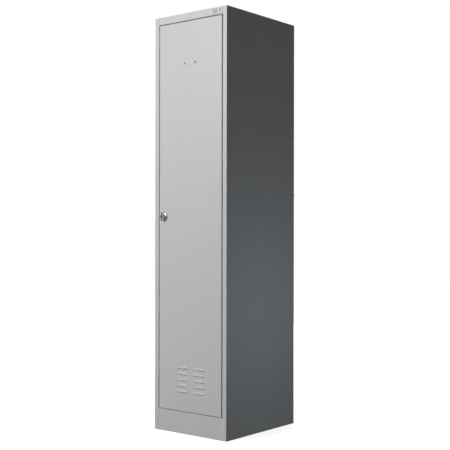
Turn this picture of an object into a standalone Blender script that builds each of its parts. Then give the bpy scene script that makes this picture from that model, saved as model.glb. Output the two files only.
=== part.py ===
"""Single-door steel locker cabinet, built as an assembly of separate pieces.

Metres, +Z up. The door faces -Y and hangs on its right-hand edge (+X). The origin is on the
floor, under the middle of the box that holds the whole cabinet, its latch knob and its rear screws.
"""

import math

import bmesh
import bpy
from mathutils import Matrix, Vector

# ---------------------------------------------------------------- driving dimensions, in metres
HEIGHT = 1.850
WIDTH = 0.415
DEPTH = 0.500

SHEET = 0.0008  # body and door sheet
BEND = 0.0016  # outside radius of a fold
GAP = 0.0003  # between pieces that touch
SEAM = 0.0005  # butt seam between the posts and the rails
SIDES = 24  # facets of a round piece
SMALL_SIDES = 16  # of a rivet, a screw or their holes

LATCH_POST = 0.024  # front fold of the left side panel
HINGE_POST = 0.022  # front fold of the right side panel
STOP = 0.012  # width of the flange that the door closes on
REAR_FLANGE = 0.015
HEADER = 0.033
PLINTH = 0.096
FOOT = 0.018  # flange under the plinth
TRAY_FLANGE = 0.012  # folded edge of the roof and the floor

DOOR_GAP_LATCH = 0.0035
DOOR_GAP_HINGE = 0.0055
DOOR_GAP_TOP = 0.0035
DOOR_GAP_BOTTOM = 0.0025
DOOR_DEPTH = 0.016
DOOR_LIP = 0.012
STIFFENER_WIDTH = 0.060
STIFFENER_FLANGE = 0.012
STIFFENER_DEPTH = 0.0125
STIFFENER_ABOVE_LOUVRES = 0.040
STIFFENER_BELOW_PLATE = 0.080

LOUVRE_LENGTH = 0.062
LOUVRE_HEIGHT = 0.011
LOUVRE_PROUD = 0.0048
LOUVRE_FACETS = 16
LOUVRE_PITCH = 0.026
LOUVRE_ROWS = 5
LOUVRE_COLUMNS = 2
LOUVRE_COLUMN_GAP = 0.034
LOUVRE_OFFSET_X = 0.006  # the block of louvres sits a little towards the hinge
LOUVRE_BOTTOM = 0.084  # lowest slot above the door's bottom edge

HINGE_INSET = 0.009  # axis from the door's right edge
HINGE_BACK = 0.008  # axis behind the door's face
PIN_RADIUS = 0.003
PIN_HEAD_RADIUS = 0.005
PIN_HEAD = 0.003
BUSH_WALL = 0.0014
BUSH_FLANGE = 0.001
BUSH_FLANGE_RADIUS = 0.0075
PIVOT_PLATE_LENGTH = 0.040
PIVOT_PLATE = 0.003
HINGE_BRACKET_LENGTH = 0.041
HINGE_BRACKET = 0.0025

KNOB_FROM_EDGE = 0.027  # latch axis from the door's left edge
ROSETTE_RADIUS = 0.0215
ROSETTE = 0.0045
HUB_RADIUS = 0.0090
WING_LENGTH = 0.042
WING_THICKNESS = 0.0085
KNOB_HEIGHT = 0.0115  # knob in front of the rosette
SPINDLE_RADIUS = 0.005
BARREL_RADIUS = 0.0097
BARREL_BACK = 0.014
NUT_ACROSS_FLATS = 0.026
NUT = 0.005
PLUG_RADIUS = 0.0055
PLUG_DEPTH = 0.0085
KEYWAY = (0.0016, 0.007)
CAM_LENGTH = 0.024
CAM_WIDTH = 0.014
CAM_TAPER = 0.8  # width at the tip over width at the spindle
CAM = 0.0025
CAM_BEHIND_STOP = 0.0012
CAM_SCREW_RADIUS = 0.0025
CAM_SCREW_HEAD_RADIUS = 0.0045
CAM_SCREW_HEAD = 0.003
CAM_SCREW_BITE = 0.009
WASHER = 0.001

NUMBER_PLATE = (0.071, 0.020, 0.0010)
NUMBER_PLATE_DOWN = 0.1845  # from the door's top edge
NUMBER_RIVETS_APART = 0.060
NUMBER_RIVET_RADIUS = 0.0016
NUMBER_RIVET_HEAD_RADIUS = 0.0036
NUMBER_RIVET_HEAD = 0.0010

LABEL = (0.060, 0.0275, 0.0005)
LABEL_FROM_RIGHT = 0.062  # label centre from the right side panel

SHELF_DOWN = 0.290  # from the cabinet's top
SHELF_FLANGE = 0.020
SHELF_BEHIND_STOP = 0.006
SHELF_ANGLE = 0.015
RAIL_RADIUS = 0.011
RAIL_WALL = 0.0012
RAIL_BELOW_SHELF = 0.060
RAIL_BRACKET_WIDTH = 0.040
RAIL_BRACKET_FOOT = 0.022
RAIL_BRACKET_FROM_SIDE = 0.026
RAIL_END_FROM_SIDE = 0.012
RAIL_CAP = 0.003

HOOKS_BELOW_SHELF = 0.120
HOOK_SPACING = 0.130
HOOK_STRIP = 0.002
HOOK_WIDTH = 0.016
HOOK_PLATE = 0.046
HOOK_REACH = 0.030
HOOK_TIP = 0.022
HOOK_RIVETS_APART = 0.028
RIVET_RADIUS = 0.002
RIVET_HEAD_RADIUS = 0.0042
RIVET_HEAD = 0.0016

BEAD_SPACING = 0.230
BEAD_WIDTH = 0.024
BEAD_DEPTH = 0.004
BEAD_FROM_ENDS = 0.130

REAR_SCREW_DOWN = 0.790  # from the cabinet's top
REAR_SCREW_FROM_SIDE = 0.007
REAR_SCREW_RADIUS = 0.002
REAR_SCREW_HEAD_RADIUS = 0.0065
REAR_SCREW_HEAD = 0.0055
REAR_SCREW_LENGTH = 0.008

BUFFER = 0.0059
BUFFER_RADIUS = 0.0038
BUFFER_FROM_ENDS = 0.160

# ---------------------------------------------------------------- places that follow from them
REBATE = DOOR_DEPTH + BUFFER + 2 * GAP  # how far back the posts' returns reach
KNOB_REACH = GAP + ROSETTE + GAP + KNOB_HEIGHT  # in front of the door's face
Y_SHIFT = (KNOB_REACH - (GAP + REAR_SCREW_HEAD)) / 2
Y_FRONT = -DEPTH / 2 + Y_SHIFT
LEFT = -WIDTH / 2
RIGHT = WIDTH / 2
DOOR_LEFT = LEFT + LATCH_POST + DOOR_GAP_LATCH
DOOR_RIGHT = RIGHT - HINGE_POST - DOOR_GAP_HINGE
DOOR_BOTTOM = PLINTH + DOOR_GAP_BOTTOM
DOOR_TOP = HEIGHT - HEADER - DOOR_GAP_TOP
DOOR_MID_X = (DOOR_LEFT + DOOR_RIGHT) / 2
HINGE_X = DOOR_RIGHT - HINGE_INSET
RAIL_RETURN = REBATE - SHEET - BEND  # the rails' stops pass in front of the posts' folds
LINER = SHEET + GAP  # one sheet and its gap
STOP_BACK = REBATE + SHEET
KNOB_X = DOOR_LEFT + KNOB_FROM_EDGE
KNOB_Z = (DOOR_BOTTOM + DOOR_TOP) / 2
NUMBER_PLATE_Z = DOOR_TOP - NUMBER_PLATE_DOWN
CAM_FRONT = STOP_BACK + CAM_BEHIND_STOP
SHELF_Z = HEIGHT - SHELF_DOWN
SHELF_UNDERSIDE = SHELF_Z - SHEET
HOOK_Z = SHELF_Z - HOOKS_BELOW_SHELF
REAR_SCREW_Z = HEIGHT - REAR_SCREW_DOWN
RAIL_Z = SHELF_Z - RAIL_BELOW_SHELF
BACK_FACE = DEPTH - LINER  # depth of the back panel's rear face
SHELF_FRONT = STOP_BACK + SHELF_BEHIND_STOP
SHELF_REAR = BACK_FACE - SHEET - BEAD_DEPTH - GAP
RAIL_DEPTH = (SHELF_FRONT + SHELF_REAR) / 2


def y_at(depth):
    """World Y of a point that far behind the door's face."""
    return Y_FRONT + depth


# ---------------------------------------------------------------- scene, materials and helpers
def fresh_collection(name):
    """A new collection linked to the scene."""
    made = bpy.data.collections.new(name)
    bpy.context.scene.collection.children.link(made)
    return made


for old in list(bpy.data.objects):
    bpy.data.objects.remove(old)
LOCKER = fresh_collection("locker_cabinet")
CUTTERS = fresh_collection("cutters")


def finish(name, colour, roughness, metallic):
    """A Principled material of one colour."""
    made = bpy.data.materials.new(name)
    made.use_nodes = True
    shader = made.node_tree.nodes["Principled BSDF"]
    shader.inputs["Base Color"].default_value = (*colour, 1)
    shader.inputs["Roughness"].default_value = roughness
    shader.inputs["Metallic"].default_value = metallic
    return made


GREY_PAINT = finish("grey_paint", (0.56, 0.57, 0.58), 0.45, 0.0)
CHROME = finish("chrome", (0.78, 0.78, 0.78), 0.12, 1.0)
ZINC = finish("zinc_steel", (0.55, 0.55, 0.54), 0.35, 1.0)
NYLON = finish("white_nylon", (0.80, 0.79, 0.75), 0.5, 0.0)
BLACK_NYLON = finish("black_nylon", (0.05, 0.05, 0.05), 0.5, 0.0)
BLACK_RUBBER = finish("black_rubber", (0.03, 0.03, 0.03), 0.8, 0.0)
PLATE_PLASTIC = finish("plate_plastic", (0.62, 0.63, 0.64), 0.3, 0.0)
LABEL_FILM = finish("label_film", (0.62, 0.50, 0.51), 0.4, 0.0)


def add_part(name, mesh, material, location=(0, 0, 0), turn=None):
    """Links a mesh as a named part of the locker, placed by its location and rotation."""
    part = bpy.data.objects.new(name, mesh)
    part.location = location
    if turn is not None:
        part.rotation_euler = turn
    mesh.materials.append(material)
    LOCKER.objects.link(part)
    return part


def as_mesh(name, bm):
    """The bmesh as a mesh, and the bmesh freed."""
    mesh = bpy.data.meshes.new(name)
    bm.to_mesh(mesh)
    bm.free()
    return mesh


def helper(name, bm):
    """A mesh object for Booleans, kept out of the render."""
    made = bpy.data.objects.new(name, as_mesh(name, bm))
    made.hide_render = True
    made.display_type = "WIRE"
    CUTTERS.objects.link(made)
    return made


def boolean(part, operation, operand):
    """Adds a Boolean modifier with the exact solver."""
    modifier = part.modifiers.new(operation.lower(), "BOOLEAN")
    modifier.operation = operation
    modifier.object = operand


def round_folds(part, radius, segments=2):
    """Rounds every fold of a sheet to one outside radius."""
    bevel = part.modifiers.new("folds", "BEVEL")
    bevel.width = radius
    bevel.segments = segments
    bevel.limit_method = "ANGLE"
    bevel.angle_limit = math.radians(25)


def thicken(part, thickness):
    """Gives an outer surface its wall, inwards."""
    solidify = part.modifiers.new("wall", "SOLIDIFY")
    solidify.thickness = thickness
    solidify.offset = -1
    solidify.use_even_offset = True


def smooth(part):
    """Smooth shading that keeps the folds' and rims' edges."""
    part.data.shade_smooth()
    part.data.set_sharp_from_angle(angle=math.radians(40))


def mirrored(path):
    """A sheet's path for the other hand, with its outer face still to the left."""
    return [(-x, y) for x, y in reversed(path)]


ALONG_X = (math.pi / 2, 0, math.pi / 2)  # local X, Y and Z become world Y, Z and X
ALONG_Y = (math.pi / 2, 0, 0)  # local Z becomes world -Y, and local Y world Z
HALF_TURN = (math.pi, 0, 0)


def folded_sheet(name, path, length, material, location, turn=None, thickness=SHEET, bend=BEND):
    """Sheet bent along path, drawn out by length along local Z.

    The path's points are on the sheet's outer face, which lies to the left of the walk.
    """
    bm = bmesh.new()
    row = [bm.verts.new((x, y, 0)) for x, y in path]
    edges = [bm.edges.new(pair) for pair in zip(row, row[1:])]
    drawn = bmesh.ops.extrude_edge_only(bm, edges=edges)["geom"]
    ends = [item for item in drawn if isinstance(item, bmesh.types.BMVert)]
    bmesh.ops.translate(bm, vec=(0, 0, length), verts=ends)
    bm.normal_update()
    first = Vector(path[1]) - Vector(path[0])
    face = edges[0].link_faces[0]
    if face.normal.dot(Vector((-first.y, first.x, 0))) < 0:
        bmesh.ops.reverse_faces(bm, faces=bm.faces[:])
    part = add_part(name, as_mesh(name, bm), material, location, turn)
    round_folds(part, bend)
    thicken(part, thickness)
    return part


def tray(name, size_x, size_y, depth, lip, material, location, turn=None):
    """A pan with walls folded down from a flat face at local Z 0, and lips folded in if any."""
    bm = bmesh.new()
    bmesh.ops.create_grid(bm, x_segments=1, y_segments=1, size=0.5)
    bmesh.ops.scale(bm, vec=(size_x, size_y, 1), verts=bm.verts[:])
    rim = bm.edges[:]
    for drop, inward in ((depth, 0), (0, lip)):
        if not drop and not inward:
            continue
        drawn = bmesh.ops.extrude_edge_only(bm, edges=rim)["geom"]
        rim = [item for item in drawn if isinstance(item, bmesh.types.BMEdge)]
        for vert in (item for item in drawn if isinstance(item, bmesh.types.BMVert)):
            vert.co.z -= drop
            vert.co.x -= math.copysign(inward, vert.co.x)
            vert.co.y -= math.copysign(inward, vert.co.y)
    bmesh.ops.recalc_face_normals(bm, faces=bm.faces[:])
    top = max(bm.faces, key=lambda f: f.calc_area())
    if top.normal.z < 0:
        bmesh.ops.reverse_faces(bm, faces=bm.faces[:])
    part = add_part(name, as_mesh(name, bm), material, location, turn)
    round_folds(part, BEND)
    thicken(part, SHEET)
    return part


def turned(name, profile, material, location, turn=None, closed=False, sides=SIDES):
    """A piece turned about local Z from (radius, height) points that run down its outer side."""
    bm = bmesh.new()
    row = [bm.verts.new((r, 0, z)) for r, z in profile]
    for pair in zip(row, row[1:]):
        bm.edges.new(pair)
    if closed:
        bm.edges.new((row[-1], row[0]))
    part = add_part(name, as_mesh(name, bm), material, location, turn)
    screw = part.modifiers.new("turn", "SCREW")
    screw.steps = sides
    screw.render_steps = sides
    screw.use_merge_vertices = True
    screw.merge_threshold = 0.00001
    return part


def ring_profile(outer, inner, top, bottom):
    """The closed section of a plain ring."""
    return [(outer, top), (outer, bottom), (inner, bottom), (inner, top)]


def disc_profile(radius, top, bottom, chamfer=0.0):
    """The section of a solid disc or rod, with a chamfered top rim if asked."""
    return [(0, top), (radius - chamfer, top), (radius, top - chamfer), (radius, bottom), (0, bottom)]


def rod_cutter(bm, centre, axis, radius, length, sides=SIDES):
    """Adds to a cutter a rod along an axis of the world, centred on a point."""
    turn = Vector((0, 0, 1)).rotation_difference(Vector(axis)).to_matrix().to_4x4()
    bmesh.ops.create_cone(
        bm,
        cap_ends=True,
        segments=sides,
        radius1=radius,
        radius2=radius,
        depth=length,
        matrix=Matrix.Translation(centre) @ turn,
    )


def everything(bm):
    """All of a bmesh's geometry, for an operator."""
    return bm.verts[:] + bm.edges[:] + bm.faces[:]


def box_bmesh(bm, low, high):
    """Adds a box between two corners."""
    low, high = Vector(low), Vector(high)
    size = Matrix.Diagonal((*(high - low), 1))
    bmesh.ops.create_cube(bm, size=1, matrix=Matrix.Translation((low + high) / 2) @ size)


def block(name, low, high, material):
    """A box between two corners."""
    low, high = Vector(low), Vector(high)
    bm = bmesh.new()
    box_bmesh(bm, (low - high) / 2, (high - low) / 2)
    return add_part(name, as_mesh(name, bm), material, (low + high) / 2)


def drill(part, holes, sides=SIDES):
    """Cuts round holes: (centre, axis, radius, length) each, in the world."""
    bm = bmesh.new()
    for centre, axis, radius, length in holes:
        rod_cutter(bm, centre, axis, radius, length, sides)
    boolean(part, "DIFFERENCE", helper(part.name + "_holes", bm))


# ---------------------------------------------------------------- carcass
def side_path(post):
    """Plan of the left side panel: stop, return, post face, side and rear flange."""
    inner = LEFT + post
    return [
        (inner + STOP, REBATE),
        (inner, REBATE),
        (inner, 0),
        (LEFT, 0),
        (LEFT, DEPTH),
        (LEFT + REAR_FLANGE, DEPTH),
    ]


def side_panels():
    """Both side panels, each with its post, notched above for the roof tray."""
    for name, post, sign in (
        ("left_side_panel", LATCH_POST, 1),
        ("right_side_panel", HINGE_POST, -1),
    ):
        path = side_path(post)
        if sign < 0:
            path = mirrored(path)
        panel = folded_sheet(name, path, HEIGHT, GREY_PAINT, (0, Y_FRONT, 0))
        inner = LEFT + post
        near, far = inner - SHEET - GAP, inner + STOP + GAP
        notch = bmesh.new()
        box_bmesh(
            notch,
            (min(sign * near, sign * far), y_at(SHEET + GAP / 2), HEIGHT - TRAY_FLANGE - GAP),
            (max(sign * near, sign * far), y_at(STOP_BACK + GAP), HEIGHT + GAP),
        )
        rod_cutter(
            notch,
            (sign * (LEFT + REAR_SCREW_FROM_SIDE), y_at(DEPTH), REAR_SCREW_Z),
            (0, 1, 0),
            REAR_SCREW_RADIUS + GAP,
            4 * SHEET,
            SMALL_SIDES,
        )
        boolean(panel, "DIFFERENCE", helper(name + "_notch", notch))


def header_and_plinth():
    """The two front rails between the posts, each with the flange that stops the door."""
    length = WIDTH - LATCH_POST - HINGE_POST - 2 * SEAM
    start = (LEFT + LATCH_POST + SEAM, Y_FRONT, 0)
    under = HEIGHT - HEADER
    header = folded_sheet(
        "header_rail",
        [(RAIL_RETURN, under - STOP), (RAIL_RETURN, under), (0, under), (0, HEIGHT)],
        length,
        GREY_PAINT,
        start,
        ALONG_X,
    )
    plinth = folded_sheet(
        "plinth_panel",
        [(FOOT, 0), (0, 0), (0, PLINTH), (RAIL_RETURN, PLINTH), (RAIL_RETURN, PLINTH + STOP)],
        length,
        GREY_PAINT,
        start,
        ALONG_X,
    )
    for rail, z in ((header, under), (plinth, PLINTH)):
        centre = (HINGE_X, y_at(HINGE_BACK), z)
        drill(rail, [(centre, (0, 0, 1), PIN_RADIUS + BUSH_WALL + 2 * GAP, 6 * SHEET)])


def bead_places():
    """X of the middle of each bead."""
    return (-BEAD_SPACING / 2, BEAD_SPACING / 2)


def back_panel():
    """The rear sheet, inside the side panels' rear flanges, with two beads pressed inwards."""
    bm = bmesh.new()
    bmesh.ops.create_grid(bm, x_segments=1, y_segments=1, size=0.5)
    bmesh.ops.scale(bm, vec=(WIDTH - 2 * LINER, HEIGHT, 1), verts=bm.verts[:])
    half_length = HEIGHT / 2 - BEAD_FROM_ENDS
    sides = [centre + side * BEAD_WIDTH / 2 for centre in bead_places() for side in (-1, 1)]
    for x in sides:
        bmesh.ops.bisect_plane(bm, geom=everything(bm), plane_co=(x, 0, 0), plane_no=(1, 0, 0))
    for z in (-half_length, half_length):
        bmesh.ops.bisect_plane(bm, geom=everything(bm), plane_co=(0, z, 0), plane_no=(0, 1, 0))
    beads = [
        face
        for face in bm.faces
        if abs(face.calc_center_median().y) < half_length
        and any(abs(face.calc_center_median().x - x) < BEAD_WIDTH / 2 for x in bead_places())
    ]
    bmesh.ops.inset_region(bm, faces=beads, thickness=BEAD_DEPTH, depth=-BEAD_DEPTH)
    bmesh.ops.dissolve_limit(
        bm, angle_limit=math.radians(1), verts=bm.verts[:], edges=bm.edges[:]
    )
    facing_back = (math.pi / 2, 0, math.pi)
    place = (0, y_at(BACK_FACE), HEIGHT / 2)
    panel = add_part("back_panel", as_mesh("back_panel", bm), GREY_PAINT, place, facing_back)
    round_folds(panel, BEND)
    thicken(panel, SHEET)
    through = 8 * SHEET
    holes = [
        ((x, y_at(BACK_FACE), z), (0, 1, 0), RIVET_RADIUS + GAP, through)
        for x, z in hook_rivet_places()
    ]
    holes += [
        (
            (side * (WIDTH / 2 - REAR_SCREW_FROM_SIDE), y_at(BACK_FACE), REAR_SCREW_Z),
            (0, 1, 0),
            REAR_SCREW_RADIUS + GAP,
            through,
        )
        for side in (-1, 1)
    ]
    drill(panel, holes, SMALL_SIDES)


def roof_and_floor():
    """Two trays between the side panels: the roof at the top and the floor behind the plinth."""
    across = WIDTH - 2 * LINER
    rear = DEPTH - 2 * LINER
    for name, front, z in (
        ("roof_panel", LINER, HEIGHT),
        ("floor_panel", STOP_BACK + GAP, PLINTH),
    ):
        middle = (0, y_at((front + rear) / 2), z)
        tray(name, across, rear - front, TRAY_FLANGE, 0, GREY_PAINT, middle)


def rear_screws():
    """Pan-head screws that lock the back panel to the side panels' rear flanges."""
    profile = [
        (0, REAR_SCREW_HEAD),
        (REAR_SCREW_HEAD_RADIUS * 0.55, REAR_SCREW_HEAD),
        (REAR_SCREW_HEAD_RADIUS * 0.85, REAR_SCREW_HEAD * 0.75),
        (REAR_SCREW_HEAD_RADIUS, REAR_SCREW_HEAD * 0.3),
        (REAR_SCREW_HEAD_RADIUS, 0),
        (REAR_SCREW_RADIUS, 0),
        (REAR_SCREW_RADIUS, -REAR_SCREW_LENGTH),
        (0, -REAR_SCREW_LENGTH),
    ]
    facing_back = (-math.pi / 2, 0, 0)
    for name, side in (("rear_screw_left", -1), ("rear_screw_right", 1)):
        place = (side * (WIDTH / 2 - REAR_SCREW_FROM_SIDE), y_at(DEPTH + GAP), REAR_SCREW_Z)
        smooth(turned(name, profile, ZINC, place, facing_back, sides=SMALL_SIDES))


def header_label():
    """A small blank label on the header, near its right end."""
    x = RIGHT - LABEL_FROM_RIGHT
    z = HEIGHT - HEADER / 2
    length, height, thick = LABEL
    block(
        "header_label",
        (x - length / 2, y_at(-GAP - thick), z - height / 2),
        (x + length / 2, y_at(-GAP), z + height / 2),
        LABEL_FILM,
    )


# ---------------------------------------------------------------- inside the cabinet
def hat_shelf():
    """The shelf tray and the two angles welded to the sides that carry it."""
    across = WIDTH - 2 * (LINER + SHEET + GAP)
    middle = (0, y_at((SHELF_FRONT + SHELF_REAR) / 2), SHELF_Z)
    tray("hat_shelf", across, SHELF_REAR - SHELF_FRONT, SHELF_FLANGE, 0, GREY_PAINT, middle)
    rest = SHELF_Z - SHELF_FLANGE - GAP
    length = SHELF_REAR - SHELF_FRONT
    wall = LEFT + LINER
    path = [(wall + SHELF_ANGLE, rest - SHEET), (wall, rest - SHEET), (wall, rest + SHELF_ANGLE)]
    rear = (0, y_at(SHELF_REAR), 0)
    folded_sheet("shelf_angle_left", path, length, GREY_PAINT, rear, ALONG_Y)
    folded_sheet("shelf_angle_right", mirrored(path), length, GREY_PAINT, rear, ALONG_Y)


def hanging_rail():
    """The tube for hangers, its end caps, and two brackets welded under the shelf."""
    half = WIDTH / 2 - RAIL_END_FROM_SIDE
    place = (0, y_at(RAIL_DEPTH), RAIL_Z)
    along_x = (0, math.pi / 2, 0)
    inner = RAIL_RADIUS - RAIL_WALL
    rail = turned(
        "hanging_rail",
        ring_profile(RAIL_RADIUS, inner, half - RAIL_CAP, RAIL_CAP - half),
        CHROME,
        place,
        along_x,
        closed=True,
    )
    smooth(rail)
    plug = inner - GAP
    cap = [
        (0, RAIL_CAP),
        (RAIL_RADIUS - RAIL_CAP / 3, RAIL_CAP),
        (RAIL_RADIUS, RAIL_CAP * 2 / 3),
        (RAIL_RADIUS, GAP),
        (plug, GAP),
        (plug, -3 * RAIL_CAP),
        (0, -3 * RAIL_CAP),
    ]
    for name, side in (("rail_cap_left", -1), ("rail_cap_right", 1)):
        at = (side * (half - RAIL_CAP), place[1], RAIL_Z)
        smooth(turned(name, cap, NYLON, at, (0, side * math.pi / 2, 0)))
    top = SHELF_UNDERSIDE - GAP
    reach = RAIL_RADIUS + RAIL_BRACKET_WIDTH / 4
    wall = WIDTH / 2 - RAIL_BRACKET_FROM_SIDE
    path = [(-wall, RAIL_Z - reach), (-wall, top), (RAIL_BRACKET_FOOT - wall, top)]
    rear = (0, place[1] + RAIL_BRACKET_WIDTH / 2, 0)
    for name, side, bent in (
        ("rail_bracket_left", -1, path),
        ("rail_bracket_right", 1, mirrored(path)),
    ):
        bracket = folded_sheet(
            name, bent, RAIL_BRACKET_WIDTH, ZINC, rear, ALONG_Y, 2 * SHEET, 3 * SHEET
        )
        centre = (side * (wall - SHEET), place[1], RAIL_Z)
        drill(bracket, [(centre, (1, 0, 0), RAIL_RADIUS + GAP, 10 * SHEET)])


def hook_rivet_places():
    """X and Z of the four rivets that hold the coat hooks."""
    return [
        (column * HOOK_SPACING / 2, HOOK_Z + row * HOOK_RIVETS_APART / 2)
        for column in (-1, 1)
        for row in (-1, 1)
    ]


def coat_hooks():
    """Two strip hooks riveted to the back panel, each a plate that curls out and up."""
    bottom = -HOOK_PLATE / 2
    radius = HOOK_REACH / 2
    steps = 8
    curl = [
        (
            -radius + radius * math.cos(math.pi * step / steps),
            bottom - radius * math.sin(math.pi * step / steps),
        )
        for step in range(steps + 1)
    ]
    tip = (-HOOK_REACH, bottom + HOOK_TIP)
    path = [tip, *reversed(curl), (0, HOOK_PLATE / 2)]
    front_of_panel = BACK_FACE - SHEET - GAP
    for name, column in (("coat_hook_left", -1), ("coat_hook_right", 1)):
        x = column * HOOK_SPACING / 2
        hook = folded_sheet(
            name,
            path,
            HOOK_WIDTH,
            ZINC,
            (x - HOOK_WIDTH / 2, y_at(front_of_panel - HOOK_STRIP), HOOK_Z),
            ALONG_X,
            thickness=HOOK_STRIP,
            bend=HOOK_STRIP / 4,
        )
        holes = [
            ((rx, y_at(front_of_panel), rz), (0, 1, 0), RIVET_RADIUS + GAP, 6 * HOOK_STRIP)
            for rx, rz in hook_rivet_places()
            if rx * column > 0
        ]
        drill(hook, holes, SMALL_SIDES)
    head_face = front_of_panel - HOOK_STRIP - GAP
    length = HOOK_STRIP + SHEET + 3 * GAP
    profile = [
        (0, RIVET_HEAD),
        (RIVET_HEAD_RADIUS * 0.6, RIVET_HEAD * 0.85),
        (RIVET_HEAD_RADIUS, RIVET_HEAD * 0.3),
        (RIVET_HEAD_RADIUS, 0),
        (RIVET_RADIUS, 0),
        (RIVET_RADIUS, -length),
        (0, -length),
    ]
    names = ("left_lower", "left_upper", "right_lower", "right_upper")
    for name, (x, z) in zip(names, hook_rivet_places()):
        place = (x, y_at(head_face), z)
        smooth(turned("hook_rivet_" + name, profile, ZINC, place, ALONG_Y, sides=SMALL_SIDES))


# ---------------------------------------------------------------- door
def louvre_places():
    """X of each louvre's middle and Z of its slot."""
    middle = DOOR_MID_X + LOUVRE_OFFSET_X
    spread = LOUVRE_LENGTH + LOUVRE_COLUMN_GAP
    first = middle - spread * (LOUVRE_COLUMNS - 1) / 2
    return [
        (first + column * spread, DOOR_BOTTOM + LOUVRE_BOTTOM + row * LOUVRE_PITCH)
        for column in range(LOUVRE_COLUMNS)
        for row in range(LOUVRE_ROWS)
    ]


def half_lens(bm, centre, half_sizes, back):
    """Adds the upper half of an ellipsoid, cut off flat at its middle and at a plane behind it."""
    made = bmesh.ops.create_uvsphere(
        bm, u_segments=LOUVRE_FACETS, v_segments=LOUVRE_FACETS // 2, radius=1
    )["verts"]
    bmesh.ops.scale(bm, vec=half_sizes, verts=made)
    for point, normal in (((0, 0, 0), (0, 0, -1)), ((0, back, 0), (0, 1, 0))):
        edges = {edge for vert in made for edge in vert.link_edges}
        faces = {face for vert in made for face in vert.link_faces}
        cut = bmesh.ops.bisect_plane(
            bm,
            geom=[*made, *edges, *faces],
            dist=GAP / 30,
            plane_co=point,
            plane_no=normal,
            clear_outer=True,
        )
        made = [v for v in cut["geom"] if isinstance(v, bmesh.types.BMVert)]
        rim = [e for e in cut["geom_cut"] if isinstance(e, bmesh.types.BMEdge) and e.is_boundary]
        bmesh.ops.contextual_create(bm, geom=rim)
    bmesh.ops.translate(bm, vec=centre, verts=made)


def louvres(door):
    """Presses the hooded slots into the door: a hood joined on, then its hollow cut out."""
    hoods = bmesh.new()
    hollows = bmesh.new()
    length, proud, height = LOUVRE_LENGTH / 2, LOUVRE_PROUD + SHEET / 2, LOUVRE_HEIGHT
    for x, z in louvre_places():
        centre = Vector((x, y_at(SHEET / 2), z))
        half_lens(hoods, centre, (length, proud, height), 0)
        lowered = centre - Vector((0, 0, GAP))
        inside = (length - SHEET, proud - SHEET, height - SHEET)
        half_lens(hollows, lowered, inside, 2 * SHEET)
    for bm in (hoods, hollows):
        bmesh.ops.recalc_face_normals(bm, faces=bm.faces[:])
    boolean(door, "UNION", helper("louvre_hoods", hoods))
    boolean(door, "DIFFERENCE", helper("louvre_hollows", hollows))


def number_rivet_places():
    """X of the two rivets of the number plate."""
    return [DOOR_MID_X + side * NUMBER_RIVETS_APART / 2 for side in (-1, 1)]


def door_panel():
    """The door pan with its louvres, and the channel welded inside it."""
    middle = (DOOR_MID_X, Y_FRONT, (DOOR_BOTTOM + DOOR_TOP) / 2)
    width, height = DOOR_RIGHT - DOOR_LEFT, DOOR_TOP - DOOR_BOTTOM
    door = tray("door_panel", width, height, DOOR_DEPTH, DOOR_LIP, GREY_PAINT, middle, ALONG_Y)
    louvres(door)
    holes = [((KNOB_X, Y_FRONT, KNOB_Z), (0, 1, 0), BARREL_RADIUS + GAP, 6 * SHEET)]
    holes += [
        ((x, Y_FRONT, NUMBER_PLATE_Z), (0, 1, 0), NUMBER_RIVET_RADIUS + GAP, 6 * SHEET)
        for x in number_rivet_places()
    ]
    holes += [
        ((HINGE_X, y_at(HINGE_BACK), z), (0, 0, 1), PIN_RADIUS + GAP, 6 * SHEET)
        for z in (DOOR_BOTTOM, DOOR_TOP)
    ]
    drill(door, holes)
    half, foot = STIFFENER_WIDTH / 2, STIFFENER_FLANGE
    inside, crown = LINER + SHEET, STIFFENER_DEPTH
    path = [
        (-half, inside),
        (-half + foot, inside),
        (-half + foot + SHEET, crown),
        (half - foot - SHEET, crown),
        (half - foot, inside),
        (half, inside),
    ]
    foot_z = louvre_places()[-1][1] + LOUVRE_HEIGHT + STIFFENER_ABOVE_LOUVRES
    length = NUMBER_PLATE_Z - STIFFENER_BELOW_PLATE - foot_z
    place = (DOOR_MID_X, Y_FRONT, foot_z)
    folded_sheet("door_stiffener", path, length, GREY_PAINT, place)


def number_plate():
    """A blank oval plate held by two rivets."""
    length, height, thick = NUMBER_PLATE
    bm = bmesh.new()
    bmesh.ops.create_cone(
        bm, cap_ends=True, segments=2 * SMALL_SIDES, radius1=0.5, radius2=0.5, depth=thick
    )
    bmesh.ops.scale(bm, vec=(length, height, 1), verts=bm.verts[:])
    place = (DOOR_MID_X, y_at(-GAP - thick / 2), NUMBER_PLATE_Z)
    plate = add_part("number_plate", as_mesh("number_plate", bm), PLATE_PLASTIC, place, ALONG_Y)
    holes = [
        ((x, place[1], NUMBER_PLATE_Z), (0, 1, 0), NUMBER_RIVET_RADIUS + GAP, 6 * thick)
        for x in number_rivet_places()
    ]
    drill(plate, holes)
    length = thick + SHEET + 3 * GAP
    profile = [
        (0, NUMBER_RIVET_HEAD),
        (NUMBER_RIVET_HEAD_RADIUS * 0.7, NUMBER_RIVET_HEAD * 0.8),
        (NUMBER_RIVET_HEAD_RADIUS, NUMBER_RIVET_HEAD * 0.25),
        (NUMBER_RIVET_HEAD_RADIUS, 0),
        (NUMBER_RIVET_RADIUS, 0),
        (NUMBER_RIVET_RADIUS, -length),
        (0, -length),
    ]
    names = ("number_rivet_left", "number_rivet_right")
    for name, x in zip(names, number_rivet_places()):
        rivet_place = (x, y_at(-2 * GAP - thick), NUMBER_PLATE_Z)
        rivet = turned(name, profile, BLACK_NYLON, rivet_place, ALONG_Y, sides=SMALL_SIDES)
        smooth(rivet)


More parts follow.
